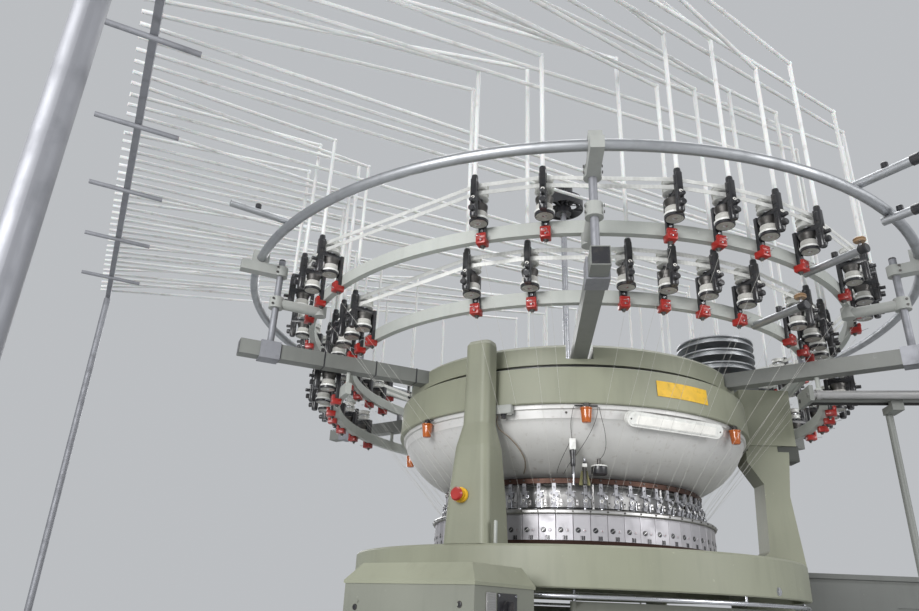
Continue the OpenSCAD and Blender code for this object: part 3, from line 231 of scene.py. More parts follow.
olive = tint(137, 139, 121)
finishes = {
    "olive": paint("oliveEnamel", olive),
    "oliveCast": paint("oliveCasting", shade(olive, 0.95), 0.4, 0.3, 0.9),
    "grey": paint("greyEnamel", tint(122, 124, 114), 0.42),
    "beam": paint("beamEnamel", tint(118, 120, 116), 0.4, 0.3, 0.2),
    "pale": paint("paleRingPaint", tint(172, 175, 170), 0.5, 0.4, 0.5),
    "cast": paint("castArmPaint", tint(158, 160, 156), 0.48, 0.3, 1.4),
    "brown": turnedMetal("brownRing", tint(78, 60, 54), 0.4, 300),
    "satin": turnedMetal("satinSteel", tint(180, 179, 178), 0.3),
    "camSteel": barMetal("camPlateSteel", tint(176, 174, 178), 0.42, 0.7, 0.2, 0.75),
    "stainless": turnedMetal("dishSheet", tint(206, 205, 203), 0.44, 170, 0.00005, 0.1, 0.3),
    "guideSteel": barMetal("guideSteel", tint(158, 158, 162), 0.42, 0.4, 0.5, 0.85),
    "chrome": barMetal("chromePlate", tint(192, 193, 197), 0.16, 0.3, 0.3),
    "aluminium": barMetal("aluminiumTube", tint(172, 174, 177), 0.36, 0.7, 0.35),
    "railSteel": barMetal("railSteel", tint(148, 149, 154), 0.5, 0.7, 0.4, 0.7),
    "darkPaint": paint("darkBoxPaint", tint(62, 64, 60), 0.5, 0.4, 0.4),
    "black": plastic("blackPlastic", tint(32, 32, 36), 0.3, 0.25, 0.5, 0.3),
    "white": plastic("whitePlastic", tint(226, 226, 222), 0.32, 0.25, 0.2, 0.2),
    "tube": tubePlastic("tubePlastic", tint(226, 227, 226)),
    "red": plastic("redPlastic", tint(152, 26, 18), 0.3, 0.3, 0.25, 0.3),
    "amber": lensPlastic("amberLens", tint(190, 98, 30), 0.03),
    "redLens": lensPlastic("redLens", tint(158, 26, 18), 0.04),
    "yellow": plastic("yellowPlate", tint(222, 176, 34), 0.4, 0.35, 0.2),
    "belt": beltFinish("ribbedBelt", tint(224, 224, 220)),
    "rubber": rubber("blackRubber", tint(30, 30, 30)),
    "yarn": yarnFinish("spunYarn", tint(198, 196, 190)),
    "ceramic": plastic("ceramicWhite", tint(240, 238, 232), 0.15, 0.1, 0.05, 0.6),
    "darkSteel": barMetal("darkSteel", tint(96, 94, 92), 0.4, 0.6, 0.4),
    "discGrey": plastic("feederDisc", tint(158, 158, 150), 0.28, 0.25, 0.2, 0.25),
    "cabinetGrey": paint("cabinetGrey", tint(96, 98, 95), 0.5),
    "wire": plastic("wireSheath", tint(44, 42, 40), 0.5, 0.2, 0.1),
    "tanWire": plastic("braidedSheath", tint(128, 116, 102), 0.6, 0.4, 0.4),
    "film": plastic("guardFilm", tint(128, 124, 82), 0.35, 0.3, 0.1, 0.2),
    "tan": plastic("eyeletPlastic", tint(150, 122, 92), 0.35, 0.2, 0.1, 0.3),
}


def coat(finish, *names):
    for name in names:
        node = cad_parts[name]
        if not node.material_slots:
            node.data.materials.append(None)
        for place in node.material_slots:
            place.material = finishes[finish]


coat("olive", "table_ring", "lower_legs", "top_cover", "top_drum", "cabinet_hood", "take_down_frame")
coat("oliveCast", "front_column", "right_column", "rear_column")
coat("grey", "base_frame", "front_guard_door", "right_guard_door", "left_guard_door", "switch_cabinet",
     "drive_motor")
coat("cabinetGrey", "electrical_cabinet", "electrical_cabinet_door")
coat("beam", "radial_beams", "elastane_bracket")
coat("pale", "upper_feeder_ring", "lower_feeder_ring", "rear_feeder_ring")
coat("cast", "ring_arms")
coat("brown", "cam_base_ring", "yarn_guide_ring")
coat("satin", "cap_ring", "dial_housing", "drive_gear", "drive_pinion", "cloth_roller", "front_elastane_roller")
coat("camSteel", "cam_boxes")
coat("guideSteel", "yarn_guides")
coat("chrome", "guard_rail", "centre_pole", "needle_cylinder", "dial")
coat("aluminium", "top_ring", "quality_wheels")
coat("railSteel", "tube_rail", "ring_posts")
# The drum spacer is painted black as painted shade: it fills the dark gap between the drum and the top cover.
coat("black", "drum_spacer", "fan_head", "fan_rotor", "main_switch")
coat("white", "work_lamp")
coat("tube", "yarn_tubes")
coat("red", "stop_button")
coat("yellow", "stop_button_base")
coat("belt", "drive_belts")
coat("rubber", "front_nip_roller", "rear_nip_roller", "rear_elastane_roller")
tell("finishes")


# Ways of modelling that most pieces share
def letGo():
    if bpy.context.object and bpy.context.object.mode != "OBJECT":
        ops.object.mode_set(mode="OBJECT")
    ops.object.select_all(action="DESELECT")


def take(piece):
    letGo()
    piece.select_set(True)
    bpy.context.view_layer.objects.active = piece
    return piece


def begin(adder, name, **settings):
    letGo()
    adder(**settings)
    piece = bpy.context.object
    piece.name = piece.data.name = name
    ops.object.transform_apply(location=True, rotation=True, scale=True)
    return piece


def bevel(piece, width, segments=2, angle=30):
    rounding = take(piece).modifiers.new("bevel", "BEVEL")
    rounding.width = width
    rounding.segments = segments
    rounding.limit_method = "ANGLE"
    rounding.angle_limit = radians(angle)
    ops.object.modifier_apply(modifier=rounding.name)
    ops.object.shade_smooth_by_angle(angle=radians(38))
    return piece


def block(name, low, high, round=0.001, segments=1):
    centre = [(a + b) / 2 for a, b in zip(low, high)]
    size = [b - a for a, b in zip(low, high)]
    piece = begin(ops.mesh.primitive_cube_add, name, size=1, location=centre, scale=size)
    return bevel(piece, round, segments) if round else piece


def bar(name, radius, start, end, sides=16, round=0.0008):
    start, end = Vector(start), Vector(end)
    along = end - start
    piece = begin(ops.mesh.primitive_cylinder_add, name, vertices=sides, radius=radius, depth=along.length,
                  location=(start + end) / 2, rotation=along.to_track_quat("Z", "Y").to_euler())
    return bevel(piece, min(round, radius * 0.3), 1) if round else piece


def ringBead(name, radius, thick, place, along=(1, 0, 0), sides=14):
    return begin(ops.mesh.primitive_torus_add, name, major_radius=radius, minor_radius=thick, major_segments=sides,
                 minor_segments=6, location=place, rotation=Vector(along).to_track_quat("Z", "Y").to_euler())


def lathe(name, profile, steps=24, smooth=35):  # profile of (radius, height), turned about Z
    mesh = bpy.data.meshes.new(name)
    mesh.from_pydata([(r, 0, z) for r, z in profile], [(i, i + 1) for i in range(len(profile) - 1)], [])
    piece = bpy.data.objects.new(name, mesh)
    bpy.context.collection.objects.link(piece)
    take(piece)
    ops.object.mode_set(mode="EDIT")
    ops.mesh.select_all(action="SELECT")
    ops.mesh.spin(steps=steps, angle=2 * pi, center=(0, 0, 0), axis=(0, 0, 1))
    ops.mesh.select_all(action="SELECT")
    ops.mesh.remove_doubles(threshold=0.000005)
    ops.mesh.normals_make_consistent(inside=False)
    ops.object.mode_set(mode="OBJECT")
    ops.object.shade_smooth_by_angle(angle=radians(smooth))
    return piece


def shape(piece, test, *steps):  # edit the faces that pass the test
    take(piece)
    ops.object.mode_set(mode="EDIT")
    bpy.context.tool_settings.mesh_select_mode = (False, False, True)
    ops.mesh.select_all(action="DESELECT")
    ops.object.mode_set(mode="OBJECT")
    for face in piece.data.polygons:
        face.select = test(face)
    ops.object.mode_set(mode="EDIT")
    for step in steps:
        step()
    ops.object.mode_set(mode="OBJECT")
    return piece


def shift(piece, matrix):
    piece.data.transform(matrix)
    return piece


def wear(piece, finish):
    piece.data.materials.clear()
    piece.data.materials.append(finishes[finish])
    return piece


def merge(parts, name):
    letGo()
    for part in parts:
        part.select_set(True)
    bpy.context.view_layer.objects.active = parts[0]
    if len(parts) > 1:
        ops.object.join()
    parts[0].name = parts[0].data.name = name
    return parts[0]


def spread(piece, places, name):  # one copy of the piece at each place
    twins = []
    for place in places:
        twin = piece.copy()
        twin.data = piece.data.copy()
        twin.data.transform(place)
        bpy.context.collection.objects.link(twin)
        twins.append(twin)
    bpy.data.objects.remove(piece)
    return merge(twins, name)


def around(azimuths, radius=0.0, height=0.0):
    return [turned(a) @ moved((radius, 0, height)) for a in azimuths]


def polar(radius, azimuth, height=0.0):
    return Vector((radius * cos(radians(azimuth)), radius * sin(radians(azimuth)), height))


def keep(piece, body="machine", stands=()):
    if stands:
        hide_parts(*stands)
    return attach(piece, body)


def socketScrew(name, radius=0.004, height=0.004, sides=12):  # head with its hexagon recess, along +Z
    r, h = radius, height
    return lathe(name, [(0, h * 0.35), (r * 0.5, h * 0.35), (r * 0.5, h), (r * 0.88, h), (r, h * 0.85), (r, 0),
                        (0, 0)], sides)


def hexBolt(name, radius=0.008, height=0.006):
    washer = {"radius": radius * 1.35, "thick": 0.0015}
    return lathe(name, [(0, height), (radius * 0.86, height), (radius, height * 0.8), (radius, washer["thick"]),
                        (washer["radius"], washer["thick"]), (washer["radius"], 0), (0, 0)], 6, 20)


def faceOut(way=Vector((1, 0, 0))):  # turns a piece along +Z to point along the given way
    return way.to_track_quat("Z", "Y").to_matrix().to_4x4()


def turned(azimuth):
    return Matrix.Rotation(radians(azimuth), 4, "Z")


def moved(place):
    return Matrix.Translation(place)


outward = faceOut()

# Sizes that pieces share with the frame, in metres and degrees
rings = {
    "beams": [-155.5 + 60 * i for i in range(6)],
    "columns": [-122, -2, 118],
    "upper": (0.99, 1.984, [[0.047, 0.185, 0.727, 0.892], [0.205, 0.338, 0.473, 0.623, 0.887]]),
    "lower": (0.835, 1.85, [[0.045, 0.145, 0.648, 0.833], [0.117, 0.245, 0.38, 0.527, 0.807, 0.943]]),
    "rear": (0.87, 1.695, [0.035, 0.065, 0.095, 0.13, 0.175, 0.21, 0.79, 0.825, 0.862, 0.905, 0.935, 0.98]),
}
rearSpan = {"start": rings["beams"][2], "sweep": 240}
feederPlaces = []  # (radius, azimuth, height) on the upper and the lower ring
for tier in ("upper", "lower"):
    radius, height, bays = rings[tier]
    feederPlaces += [(radius, rings["beams"][i] + 60 * f, height) for i in range(6) for f in bays[i % 2]]
everyFeeder = [turned(a) @ moved((r, 0, z)) for r, a, z in feederPlaces]
everyFeeder += around([rearSpan["start"] + rearSpan["sweep"] * f for f in rings["rear"][2]], *rings["rear"][:2])


# Yarn feeders, modelled once about the ring's centreline with x outwards, then copied to every place
feeder = {"reach": 0.05, "spine": 0.0785, "riser": 0.0895, "arm": 0.066, "top": 0.139,
          "spool": 0.0553, "pulley": 0.0225, "pulleys": (0.087, 0.111)}
reach, spine, riser, armZ = feeder["reach"], feeder["spine"], feeder["riser"], feeder["arm"]
clamp = block("clamp", (0.0103, -0.011, -0.022), (0.0223, 0.011, armZ + 0.018), 0.002, 2)
shape(clamp, lambda face: face.normal.x > 0.9 and face.area > 0.0008,
      lambda: ops.mesh.inset(thickness=0.004), lambda: ops.mesh.inset(thickness=0.001, depth=-0.0025))
arm = block("arm", (0.012, -0.009, armZ), (spine + 0.022, 0.009, armZ + 0.018), 0.004, 2)
back = block("back", (spine, -0.0085, 0.018), (spine + 0.022, 0.0085, 0.127), 0.0025, 2)
shape(back, lambda face: abs(face.normal.y) > 0.9 and face.area > 0.0008,
      lambda: ops.mesh.inset(thickness=0.0035), lambda: ops.mesh.inset(thickness=0.001, depth=-0.002))
socket = shift(lathe("socket", [(0, 0.128), (0.0061, 0.128), (0.0061, feeder["top"]), (0.0085, feeder["top"]),
                                (0.0095, 0.134), (0.0095, 0.12), (0.011, 0.118), (0.011, 0.092), (0.009, 0.09),
                                (0.009, 0.05), (0.011, 0.048), (0.011, 0.014), (0.009, 0.01), (0.003, 0.01),
                                (0, 0.012)], 20),
               moved((riser, 0, 0)))
knob = bar("knob", 0.009, (spine + 0.02, 0, 0.03), (spine + 0.034, 0, 0.03), 14, 0.002)
pin = bar("pin", 0.006, (spine + 0.02, 0, 0.052), (spine + 0.038, 0, 0.052), 12, 0.0012)
housing = merge([wear(p, "black") for p in (clamp, arm, back, socket, knob, pin)], "housing")
trim = [wear(shift(socketScrew("clampScrew", 0.0042, 0.003), moved((0.0215, 0, z)) @ outward),
             "chrome")
        for z in (0.004, 0.03)]
trim += [wear(ringBead("eye", 0.0042, 0.0013, (spine + 0.0232, 0, 0.066), (1, 0, 0.3)), "ceramic"),
         wear(lathe("collar", [(0.0045, armZ + 0.019), (0.0095, armZ + 0.019), (0.0105, armZ + 0.0205),
                               (0.0045, armZ + 0.0208)], 16), "chrome")]
shift(trim[-1], moved((reach, 0, 0)))
keep(spread(merge([housing, *trim], "feederBody"), everyFeeder, "feederBodies"),
     stands=["feeder_housings"])
tell("feeder bodies")

foot = armZ - feeder["spool"]
base = wear(lathe("base", [(0, foot + 0.002), (0.006, foot + 0.002), (0.007, foot + 0.0005),
                           (0.0155, foot + 0.0005), (0.0165, foot + 0.0014),
                           (0.0175, foot + 0.0014), (0.0185, foot), (0.0232, foot)], 24), "discGrey")
edge = wear(lathe("edge", [(0.0232, foot), (0.0252, foot), (0.0264, foot + 0.0014), (0.0264, foot + 0.0082)], 24),
            "black")
whiteRing = wear(lathe("whiteRing", [(0.0252, foot + 0.0082), (0.0268, foot + 0.0086), (0.0272, foot + 0.0098),
                                     (0.0272, foot + 0.0136), (0.026, foot + 0.0148), (0.0205, foot + 0.015)], 24),
                 "white")
body = wear(lathe("body", [(0.0208, foot + 0.0148), (0.0208, foot + 0.040), (0.0222, foot + 0.044),
                           (0.024, foot + 0.048), (0.024, foot + 0.0545), (0.006, foot + 0.0549)], 24),
            "darkSteel")
winding = wear(lathe("winding", [(0.0205, foot + 0.016), (0.0222, foot + 0.018), (0.0228, foot + 0.021),
                                 (0.0224, foot + 0.024), (0.0228, foot + 0.027),
                                 (0.0222, foot + 0.031), (0.0205, foot + 0.033)], 24), "yarn")
dots = [wear(bar("dot", 0.0012, (0.0215 * cos(a), 0.0215 * sin(a), foot - 0.0006),
                 (0.0215 * cos(a), 0.0215 * sin(a), foot + 0.0005), 6, 0), "black")
        for a in (0.5, 2.6, 4.7)]
hub = wear(lathe("hub", [(0.0012, foot + 0.0028), (0.0055, foot + 0.0008), (0.0068, foot + 0.003)], 16), "chrome")
shaft = wear(lathe("shaft", [(0.004, armZ - 0.001), (0.004, 0.129), (0.003, 0.1305), (0, 0.1305)], 14), "chrome")
wheels = []
for z in feeder["pulleys"]:
    r = feeder["pulley"]
    wheels.append(wear(lathe("pulley", [(0.004, z - 0.0013), (0.0085, z - 0.0013), (0.0095, z + 0.001),
                                        (0.0185, z + 0.001), (0.0195, z - 0.0013), (0.0258, z - 0.0013),
                                        (0.0262, z - 0.0009), (0.0258, z - 0.0004), (r, z), (r, z + 0.012),
                                        (0.0258, z + 0.0124), (0.0262, z + 0.0129), (0.0258, z + 0.0133),
                                        (0.0045, z + 0.0135)], 24), "white"))
wheels.append(wear(lathe("clutch", [(0.0045, 0.1007), (0.0145, 0.1007), (0.0155, 0.1025), (0.0155, 0.107),
                                    (0.013, 0.1088), (0.0045, 0.109)], 20), "chrome"))
turning = merge([base, edge, whiteRing, body, winding, hub, shaft, *dots, *wheels], "turning")
shift(turning, moved((reach, 0, 0)))
keep(spread(turning, everyFeeder, "feederSpools"), stands=["feeder_spools"])
tell("feeder spools")

stop = {"top": -0.0183, "low": -0.0385, "nose": -0.0475}
case = block("case", (0, -0.0145, stop["low"]), (0.0335, 0.0145, stop["top"]), 0.0035, 2)
shape(case, lambda face: face.normal.x > 0.9 and face.area > 0.0002,
      lambda: ops.mesh.inset(thickness=0.003), lambda: ops.mesh.inset(thickness=0.0008, depth=-0.002))
lip = block("lip", (0.0226, -0.0145, stop["top"] - 0.004), (0.0335, 0.0145, -0.006), 0.003, 2)
ribs = [block("rib", (0.0328, -0.0115, z), (0.0347, 0.0115, z + 0.0022), 0.0006) for z in (-0.0165, -0.0115)]
nose = shift(lathe("nose", [(0, stop["nose"]), (0.003, stop["nose"]), (0.0045, stop["nose"] + 0.004),
                            (0.0085, stop["low"]), (0, stop["low"] + 0.001)], 16),
             moved((0.012, 0, 0)))
unit = [wear(case, "red"), wear(lip, "red"), *[wear(r, "red") for r in ribs], wear(nose, "darkSteel"),
        wear(ringBead("noseEye", 0.0022, 0.0008, (0.012, 0, stop["nose"] - 0.0002), (0, 0, 1), 10), "ceramic"),
        wear(bar("lever", 0.0009, (0.033, 0.006, -0.029), (0.052, 0.004, -0.024), 6), "chrome"),
        wear(bar("leverEnd", 0.0009, (0.052, 0.004, -0.024), (0.053, -0.01, -0.027), 6), "chrome"),
        wear(socketScrew("unitScrew", 0.0026, 0.0022, 8), "chrome")]
shift(unit[-1], moved((0.0316, 0.0, -0.028)) @ outward)
keep(spread(merge(unit, "unit"), everyFeeder, "stopMotions"), stands=["stop_motion_units"])
tell("stop motions")


# Knitting head: what sits on the cam boxes, the cap ring and the yarn guides
head = {"stations": 60, "pitch": 6, "start": -95.5, "camFace": 0.485, "camZ": 1.234,
        "guideFace": 0.458, "guideZ": 1.351, "guideShift": 0.35}
cams = {"across": -0.011, "height": 0.0285, "eyeAcross": 0.0085, "slots": (0.0005, 0.0065), "slotTop": 0.0125,
        "slotTurn": 38}
face = head["camFace"]
discs = {"slotted": (cams["across"], cams["height"]), "pale": (cams["eyeAcross"], cams["height"] - 0.0005)}
slotted = shift(lathe("slotted", [(0, 0.0004), (0.0062, 0.0004), (0.0074, 0.0001), (0.0078, -0.0006), (0, -0.0006)],
                      20),
                moved((face + 0.0006, *discs["slotted"])) @ outward)
groove = block("groove", (face + 0.0008, -0.006, -0.0007), (face + 0.0013, 0.006, 0.0007), 0)
shift(groove, moved((0, *discs["slotted"])) @ Matrix.Rotation(radians(cams["slotTurn"]), 4, "X"))
pale = shift(lathe("pale", [(0.0013, 0.0004), (0.0046, 0.0004), (0.0052, 0), (0.0052, -0.0006), (0.0013, -0.0006),
                            (0.0013, 0.0004)], 18),
             moved((face + 0.0005, *discs["pale"])) @ outward)
dot = bar("dot", 0.0013, (face - 0.0005, *discs["pale"]), (face + 0.0009, *discs["pale"]), 8, 0)
camDress = [wear(slotted, "black"), wear(groove, "satin"), wear(pale, "camSteel"), wear(dot, "redLens")]
# The slots are drawn as thin black blocks on the plate's face: painted shade of the slots' hollows.
for y in cams["slots"]:
    slot = block("slot", (face - 0.0004, y - 0.0019, 0.0012), (face + 0.0005, y + 0.0019, cams["slotTop"]), 0)
    camDress.append(wear(slot, "black"))
camDress.append(wear(block("shoulder", (face - 0.001, -0.0205, 0.0695), (face + 0.0012, 0.0205, 0.0725), 0.0005),
                     "camSteel"))
stations = [head["start"] + head["pitch"] * i for i in range(head["stations"])]
keep(spread(merge(camDress, "camDress"), around(stations, 0, head["camZ"]), "camFittings"))

guides = [head["start"] + head["pitch"] * (i + head["guideShift"]) for i in range(head["stations"])]
guideScrews = {"top": (0.452, 0, 1.4125), "disc": (0.4545, 0, 1.3665)}
guideDress = [wear(ringBead("guideEye", 0.0036, 0.0011, (head["guideFace"], 0, head["guideZ"])), "ceramic"),
              wear(shift(socketScrew("guideScrew", 0.003, 0.0022, 10),
                         moved(guideScrews["top"]) @ outward), "darkSteel"),
              wear(shift(socketScrew("discScrew", 0.0028, 0.002, 8),
                         moved(guideScrews["disc"]) @ outward), "darkSteel"),
              wear(bar("leaf", 0.0008, (0.4565, -0.007, 1.374), (0.463, -0.006, 1.338), 6), "chrome")]
plateArm = block("plateArm", (0.452, 0.0095, 1.328), (0.462, 0.0125, 1.352), 0.0008)
plateTop = block("plateTop", (0.4505, 0.006, 1.376), (0.4585, 0.0185, 1.3785), 0.0006)
hook = ringBead("hook", 0.0046, 0.001, (0.4585, 0.0135, 1.3625), (1, 0.3, 0), 12)
latch = bar("latch", 0.0011, (0.459, 0.018, 1.331), (0.4565, 0.0145, 1.358), 6)
guideDress += [wear(plateArm, "chrome"), wear(plateTop, "chrome"), wear(hook, "chrome"), wear(latch, "darkSteel")]
guideDress += [wear(bar("bolt", 0.0022, (0.4575, 0.0215, 1.345), (0.4625, 0.0215, 1.345), 8), "black"),
               wear(block("boltPlate", (0.452, 0.0175, 1.336), (0.4578, 0.0255, 1.353), 0.0006), "satin")]
keep(spread(merge(guideDress, "guideDress"), around(guides), "guideFittings"))

capRing = {"stud": (0.4928, 0, 1.3148), "studShift": 3, "screw": (0.472, 0, 1.322), "screwShift": 1.5}
stud = shift(socketScrew("capStud", 0.0028, 0.002, 10), moved(capRing["stud"]) @ outward)
capStuds = spread(wear(stud, "darkSteel"), around([a + capRing["studShift"] for a in stations]), "capStuds")
topScrew = shift(socketScrew("topScrew", 0.004, 0.004, 10), moved(capRing["screw"]))
capScrews = spread(wear(topScrew, "chrome"), around([a + capRing["screwShift"] for a in stations]), "capScrews")
keep(merge([capStuds, capScrews], "capHardware"))
tell("knitting head")


# Drum and columns: the bare plate, the bracket under the drum, the stop button's screws and the foot pad
plate = {"from": -74.4, "to": -56.6, "low": (0.6291, 1.641), "high": (0.6265, 1.69), "steps": 12}
strip = []
for i in range(plate["steps"] + 1):
    a = plate["from"] + (plate["to"] - plate["from"]) * i / plate["steps"]
    strip += [polar(r, a, z) for r, z in (plate["low"], plate["high"])]
yellowMesh = bpy.data.meshes.new("drumPlate")
yellowMesh.from_pydata(strip, [], [(2 * i, 2 * i + 2, 2 * i + 3, 2 * i + 1) for i in range(plate["steps"])])
drumPlate = bpy.data.objects.new("drumPlate", yellowMesh)
bpy.context.collection.objects.link(drumPlate)
thick = take(drumPlate).modifiers.new("thick", "SOLIDIFY")
thick.thickness = 0.0012
thick.offset = 1
ops.object.modifier_apply(modifier="thick")
keep(wear(bevel(drumPlate, 0.0004, 1), "yellow"))

bracket = {"azimuth": -117.4, "half": 0.034, "inner": 0.6185, "outer": 0.643, "bolt": 0.631, "low": 1.577,
           "top": 1.6047}
tab = block("tab", (bracket["inner"], -bracket["half"], bracket["low"]),
            (bracket["outer"], bracket["half"], bracket["top"]), 0.003, 2)
tabBolt = shift(hexBolt("tabBolt", 0.009, 0.012),
                moved((bracket["bolt"], 0.004, bracket["low"])) @ Matrix.Rotation(pi, 4, "X"))
tabCap = bar("tabCap", 0.008, (bracket["bolt"], 0.024, bracket["low"] - 0.004),
             (bracket["bolt"], 0.024, bracket["low"] + 0.001))
drumBracket = merge([wear(tab, "cast"), wear(tabBolt, "black"), wear(tabCap, "cast")], "drumBracket")
keep(shift(drumBracket, turned(bracket["azimuth"])))

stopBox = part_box("stop_button_base")
stopMiddle = (Vector(stopBox[0]) + Vector(stopBox[1])) / 2
stopPlate = {"face": 0.7062, "screws": (-0.046, 0.046)}
away = polar(1, rings["columns"][0])
stopScrews = []
for rise in stopPlate["screws"]:
    screw = shift(socketScrew("stopScrew", 0.0034, 0.002, 12), faceOut(away))
    flush = stopMiddle - away * (stopMiddle.dot(away) - stopPlate["face"])
    stopScrews.append(shift(screw, moved(flush + Vector((0, 0, rise)))))
keep(wear(merge(stopScrews, "stopScrews"), "darkSteel"))

padPlace = {"azimuth": -115, "table": 1.2}
pad = wear(block("footPad", (0.727, -0.004, 0), (0.739, 0.004, 0.06), 0.003, 2), "pale")
shift(pad, turned(padPlace["azimuth"]) @ moved((0, 0, padPlace["table"])))
keep(pad)
tell("drum and columns")


# Dish: its sheet and rim screws, the face of the work lamp and the signal lamps
bowl = {"low": 1.422, "rim": 1.601, "sheet": 0.004,
        "knots": [(0.398, 0), (0.454, 0.012), (0.5, 0.034), (0.54, 0.062), (0.575, 0.1), (0.6, 0.143)]}


def smoothLine(knots, between):  # a curve through the knots
    knots = [Vector(k) for k in knots]
    ends = [knots[0] * 2 - knots[1], *knots, knots[-1] * 2 - knots[-2]]
    line = []
    for k in range(1, len(ends) - 2):
        a, b, c, d = ends[k - 1:k + 3]
        for n in range(between):
            s = n / between
            square, cube = a * 2 - b * 5 + c * 4 - d, b * 3 - a - c * 3 + d
            line.append(b + (c - a) * (s / 2) + square * (s * s / 2) + cube * (s ** 3 / 2))
    return [*line, knots[-1]]


under = [(q.x, bowl["low"] + q.y) for q in smoothLine([(r, z, 0) for r, z in bowl["knots"]], 5)]
under += [(0.6022, bowl["rim"] - 0.0342), (0.608, bowl["rim"] - 0.010), (0.6155, bowl["rim"] - 0.0085),
          (0.616, bowl["rim"] - 0.006), (0.616, bowl["rim"] + 0.004)]
inside = [(r - bowl["sheet"] * 0.9, z + bowl["sheet"] * 0.5) for r, z in under[:-3]]
inside = [(0.6125, bowl["rim"] + 0.004), (0.6115, bowl["rim"] - 0.004), *reversed(inside)]
keep(wear(lathe("dishSheet", [*under, *inside, under[0]], 144, 24), "stainless"),
     stands=["dish_shell"])
rim = {"place": (0.606, 0, 1.582), "way": (1, 0, -0.22), "count": 10, "start": -99.8, "pitch": 34.4}
rimScrew = shift(socketScrew("rimScrew", 0.0036, 0.0024, 10),
                 moved(rim["place"]) @ faceOut(Vector(rim["way"])))
rimAzimuths = [rim["start"] + rim["pitch"] * i for i in range(rim["count"])]
keep(spread(wear(rimScrew, "darkSteel"), around(rimAzimuths), "rimScrews"))

lamp = {"azimuth": -68.4, "place": (0.601, 0, 1.57), "tilt": 25, "length": 0.15}
lampPlace = (turned(lamp["azimuth"]) @ moved(lamp["place"])
             @ Matrix.Rotation(radians(lamp["tilt"]), 4, "Y") @ moved((0.0018, 0, 0)))
lens = block("lampLens", (0.0205, -0.142, -0.0125), (0.0222, 0.142, 0.0125), 0.0008, 2)
shape(lens, lambda face: face.normal.x > 0.9 and face.area > 0.001,
      lambda: ops.mesh.inset(thickness=0.002, depth=0.0003))
lampBits = [wear(lens, "ceramic")]
for side in (-1, 1):
    capY, screwY = side * lamp["length"], side * (lamp["length"] + 0.011)
    lampBits.append(wear(bar("endCap", 0.0165, (0.0176, capY, 0), (0.0194, capY, 0), 24, 0.0005), "white"))
    lampBits.append(wear(bar("lampScrew", 0.0028, (0.019, screwY, 0), (0.0204, screwY, 0), 10), "darkSteel"))
keep(shift(merge(lampBits, "workLampFace"), lampPlace))

glass = lathe("glass", [(0, 1.546), (0.008, 1.5461), (0.0122, 1.547), (0.0136, 1.5495), (0.0152, 1.5655),
                        (0.0168, 1.584), (0.0155, 1.5862), (0, 1.5862)], 24)
cap = lathe("lampCap", [(0.012, 1.5858), (0.0174, 1.5855), (0.0182, 1.5868), (0.0182, 1.5898), (0.0165, 1.5902),
                        (0, 1.5902)], 24)
clip = block("clip", (-0.005, -0.008, 1.59), (0.007, 0.008, 1.6047), 0.0012)
pins = [wear(bar("pin", 0.0026, (0, s * 0.009, 1.5965), (0, s * 0.034, 1.5965), 10), "black") for s in (-1, 1)]
signal = merge([wear(glass, "amber"), wear(cap, "amber"), wear(clip, "darkSteel"), *pins], "signal")
signals = {"count": 7, "start": -94.5, "radius": 0.627}
signalAzimuths = [signals["start"] + 360 / signals["count"] * i for i in range(signals["count"])]
keep(spread(signal, around(signalAzimuths, signals["radius"]), "signalLamps"),
     stands=["signal_lamps"])

# What hangs from the dish over the needles: the needle detector, the gauge and the small knob
hung = {"detector": (0.575, -98.2), "gauge": (0.52, -89.6), "knob": (0.52, -94.4)}
plug = block("plug", (-0.009, -0.0095, 1.4775), (0.009, 0.0095, 1.511), 0.0018, 2)
shape(plug, lambda face: abs(face.normal.y) > 0.9 and face.area > 0.0002,
      lambda: ops.mesh.inset(thickness=0.002, depth=-0.0006))
sleeve = lathe("sleeve", [(0, 1.4785), (0.0092, 1.4785), (0.0098, 1.474), (0.0088, 1.466), (0.0074, 1.456),
                          (0.0078, 1.446), (0.0076, 1.434), (0.0062, 1.43), (0.005, 1.4295), (0.005, 1.409),
                          (0, 1.408)], 24)
needle = lathe("needle", [(0, 1.41), (0.0026, 1.41), (0.0026, 1.384), (0.0036, 1.383), (0.0036, 1.3765),
                          (0.0018, 1.3745), (0, 1.374)], 14)
sideRod = bar("sideRod", 0.0014, (0.0052, 0.0018, 1.3765), (0.0052, 0.0018, 1.431), 8)
detector = shift(merge([wear(plug, "white"), wear(sleeve, "black"), wear(needle, "chrome"),
                        wear(sideRod, "chrome")], "detector"),
                 around([hung["detector"][1]], hung["detector"][0])[0])
drumCase = lathe("drumCase", [(0, 1.4195), (0.0198, 1.4195), (0.0205, 1.4182), (0.0222, 1.4182), (0.0236, 1.4205),
                              (0.0236, 1.4395), (0.0225, 1.441), (0, 1.441)], 32)
drumRim = lathe("drumRim", [(0.0222, 1.4405), (0.0243, 1.4405), (0.0248, 1.442), (0.024, 1.4438), (0.0225, 1.4442),
                            (0, 1.4442)], 32)
drumStem = bar("drumStem", 0.0055, (0, 0, 1.4438), (0, 0, 1.4638), 14)
gauge = shift(merge([wear(drumCase, "black"), wear(drumRim, "white"), wear(drumStem, "darkSteel")], "gauge"),
              moved(polar(*hung["gauge"])))
knobBits = [wear(lathe("knobCap", [(0, 1.449), (0.0035, 1.449), (0.0045, 1.4502), (0.0045, 1.4532),
                                   (0.0035, 1.4548), (0, 1.4548)], 16), "black"),
            wear(block("knobBlock", (-0.0065, -0.0075, 1.4385), (0.0065, 0.0075, 1.449), 0.001), "white"),
            wear(lathe("knobBody", [(0, 1.387), (0.0055, 1.387), (0.007, 1.389), (0.007, 1.402), (0.0055, 1.404),
                                    (0.0055, 1.43), (0.0066, 1.432), (0.0066, 1.4385), (0, 1.4385)], 16),
                 "darkSteel"),
            wear(bar("knobStem", 0.0032, (0, 0, 1.4548), (0, 0, 1.4662), 12), "chrome")]
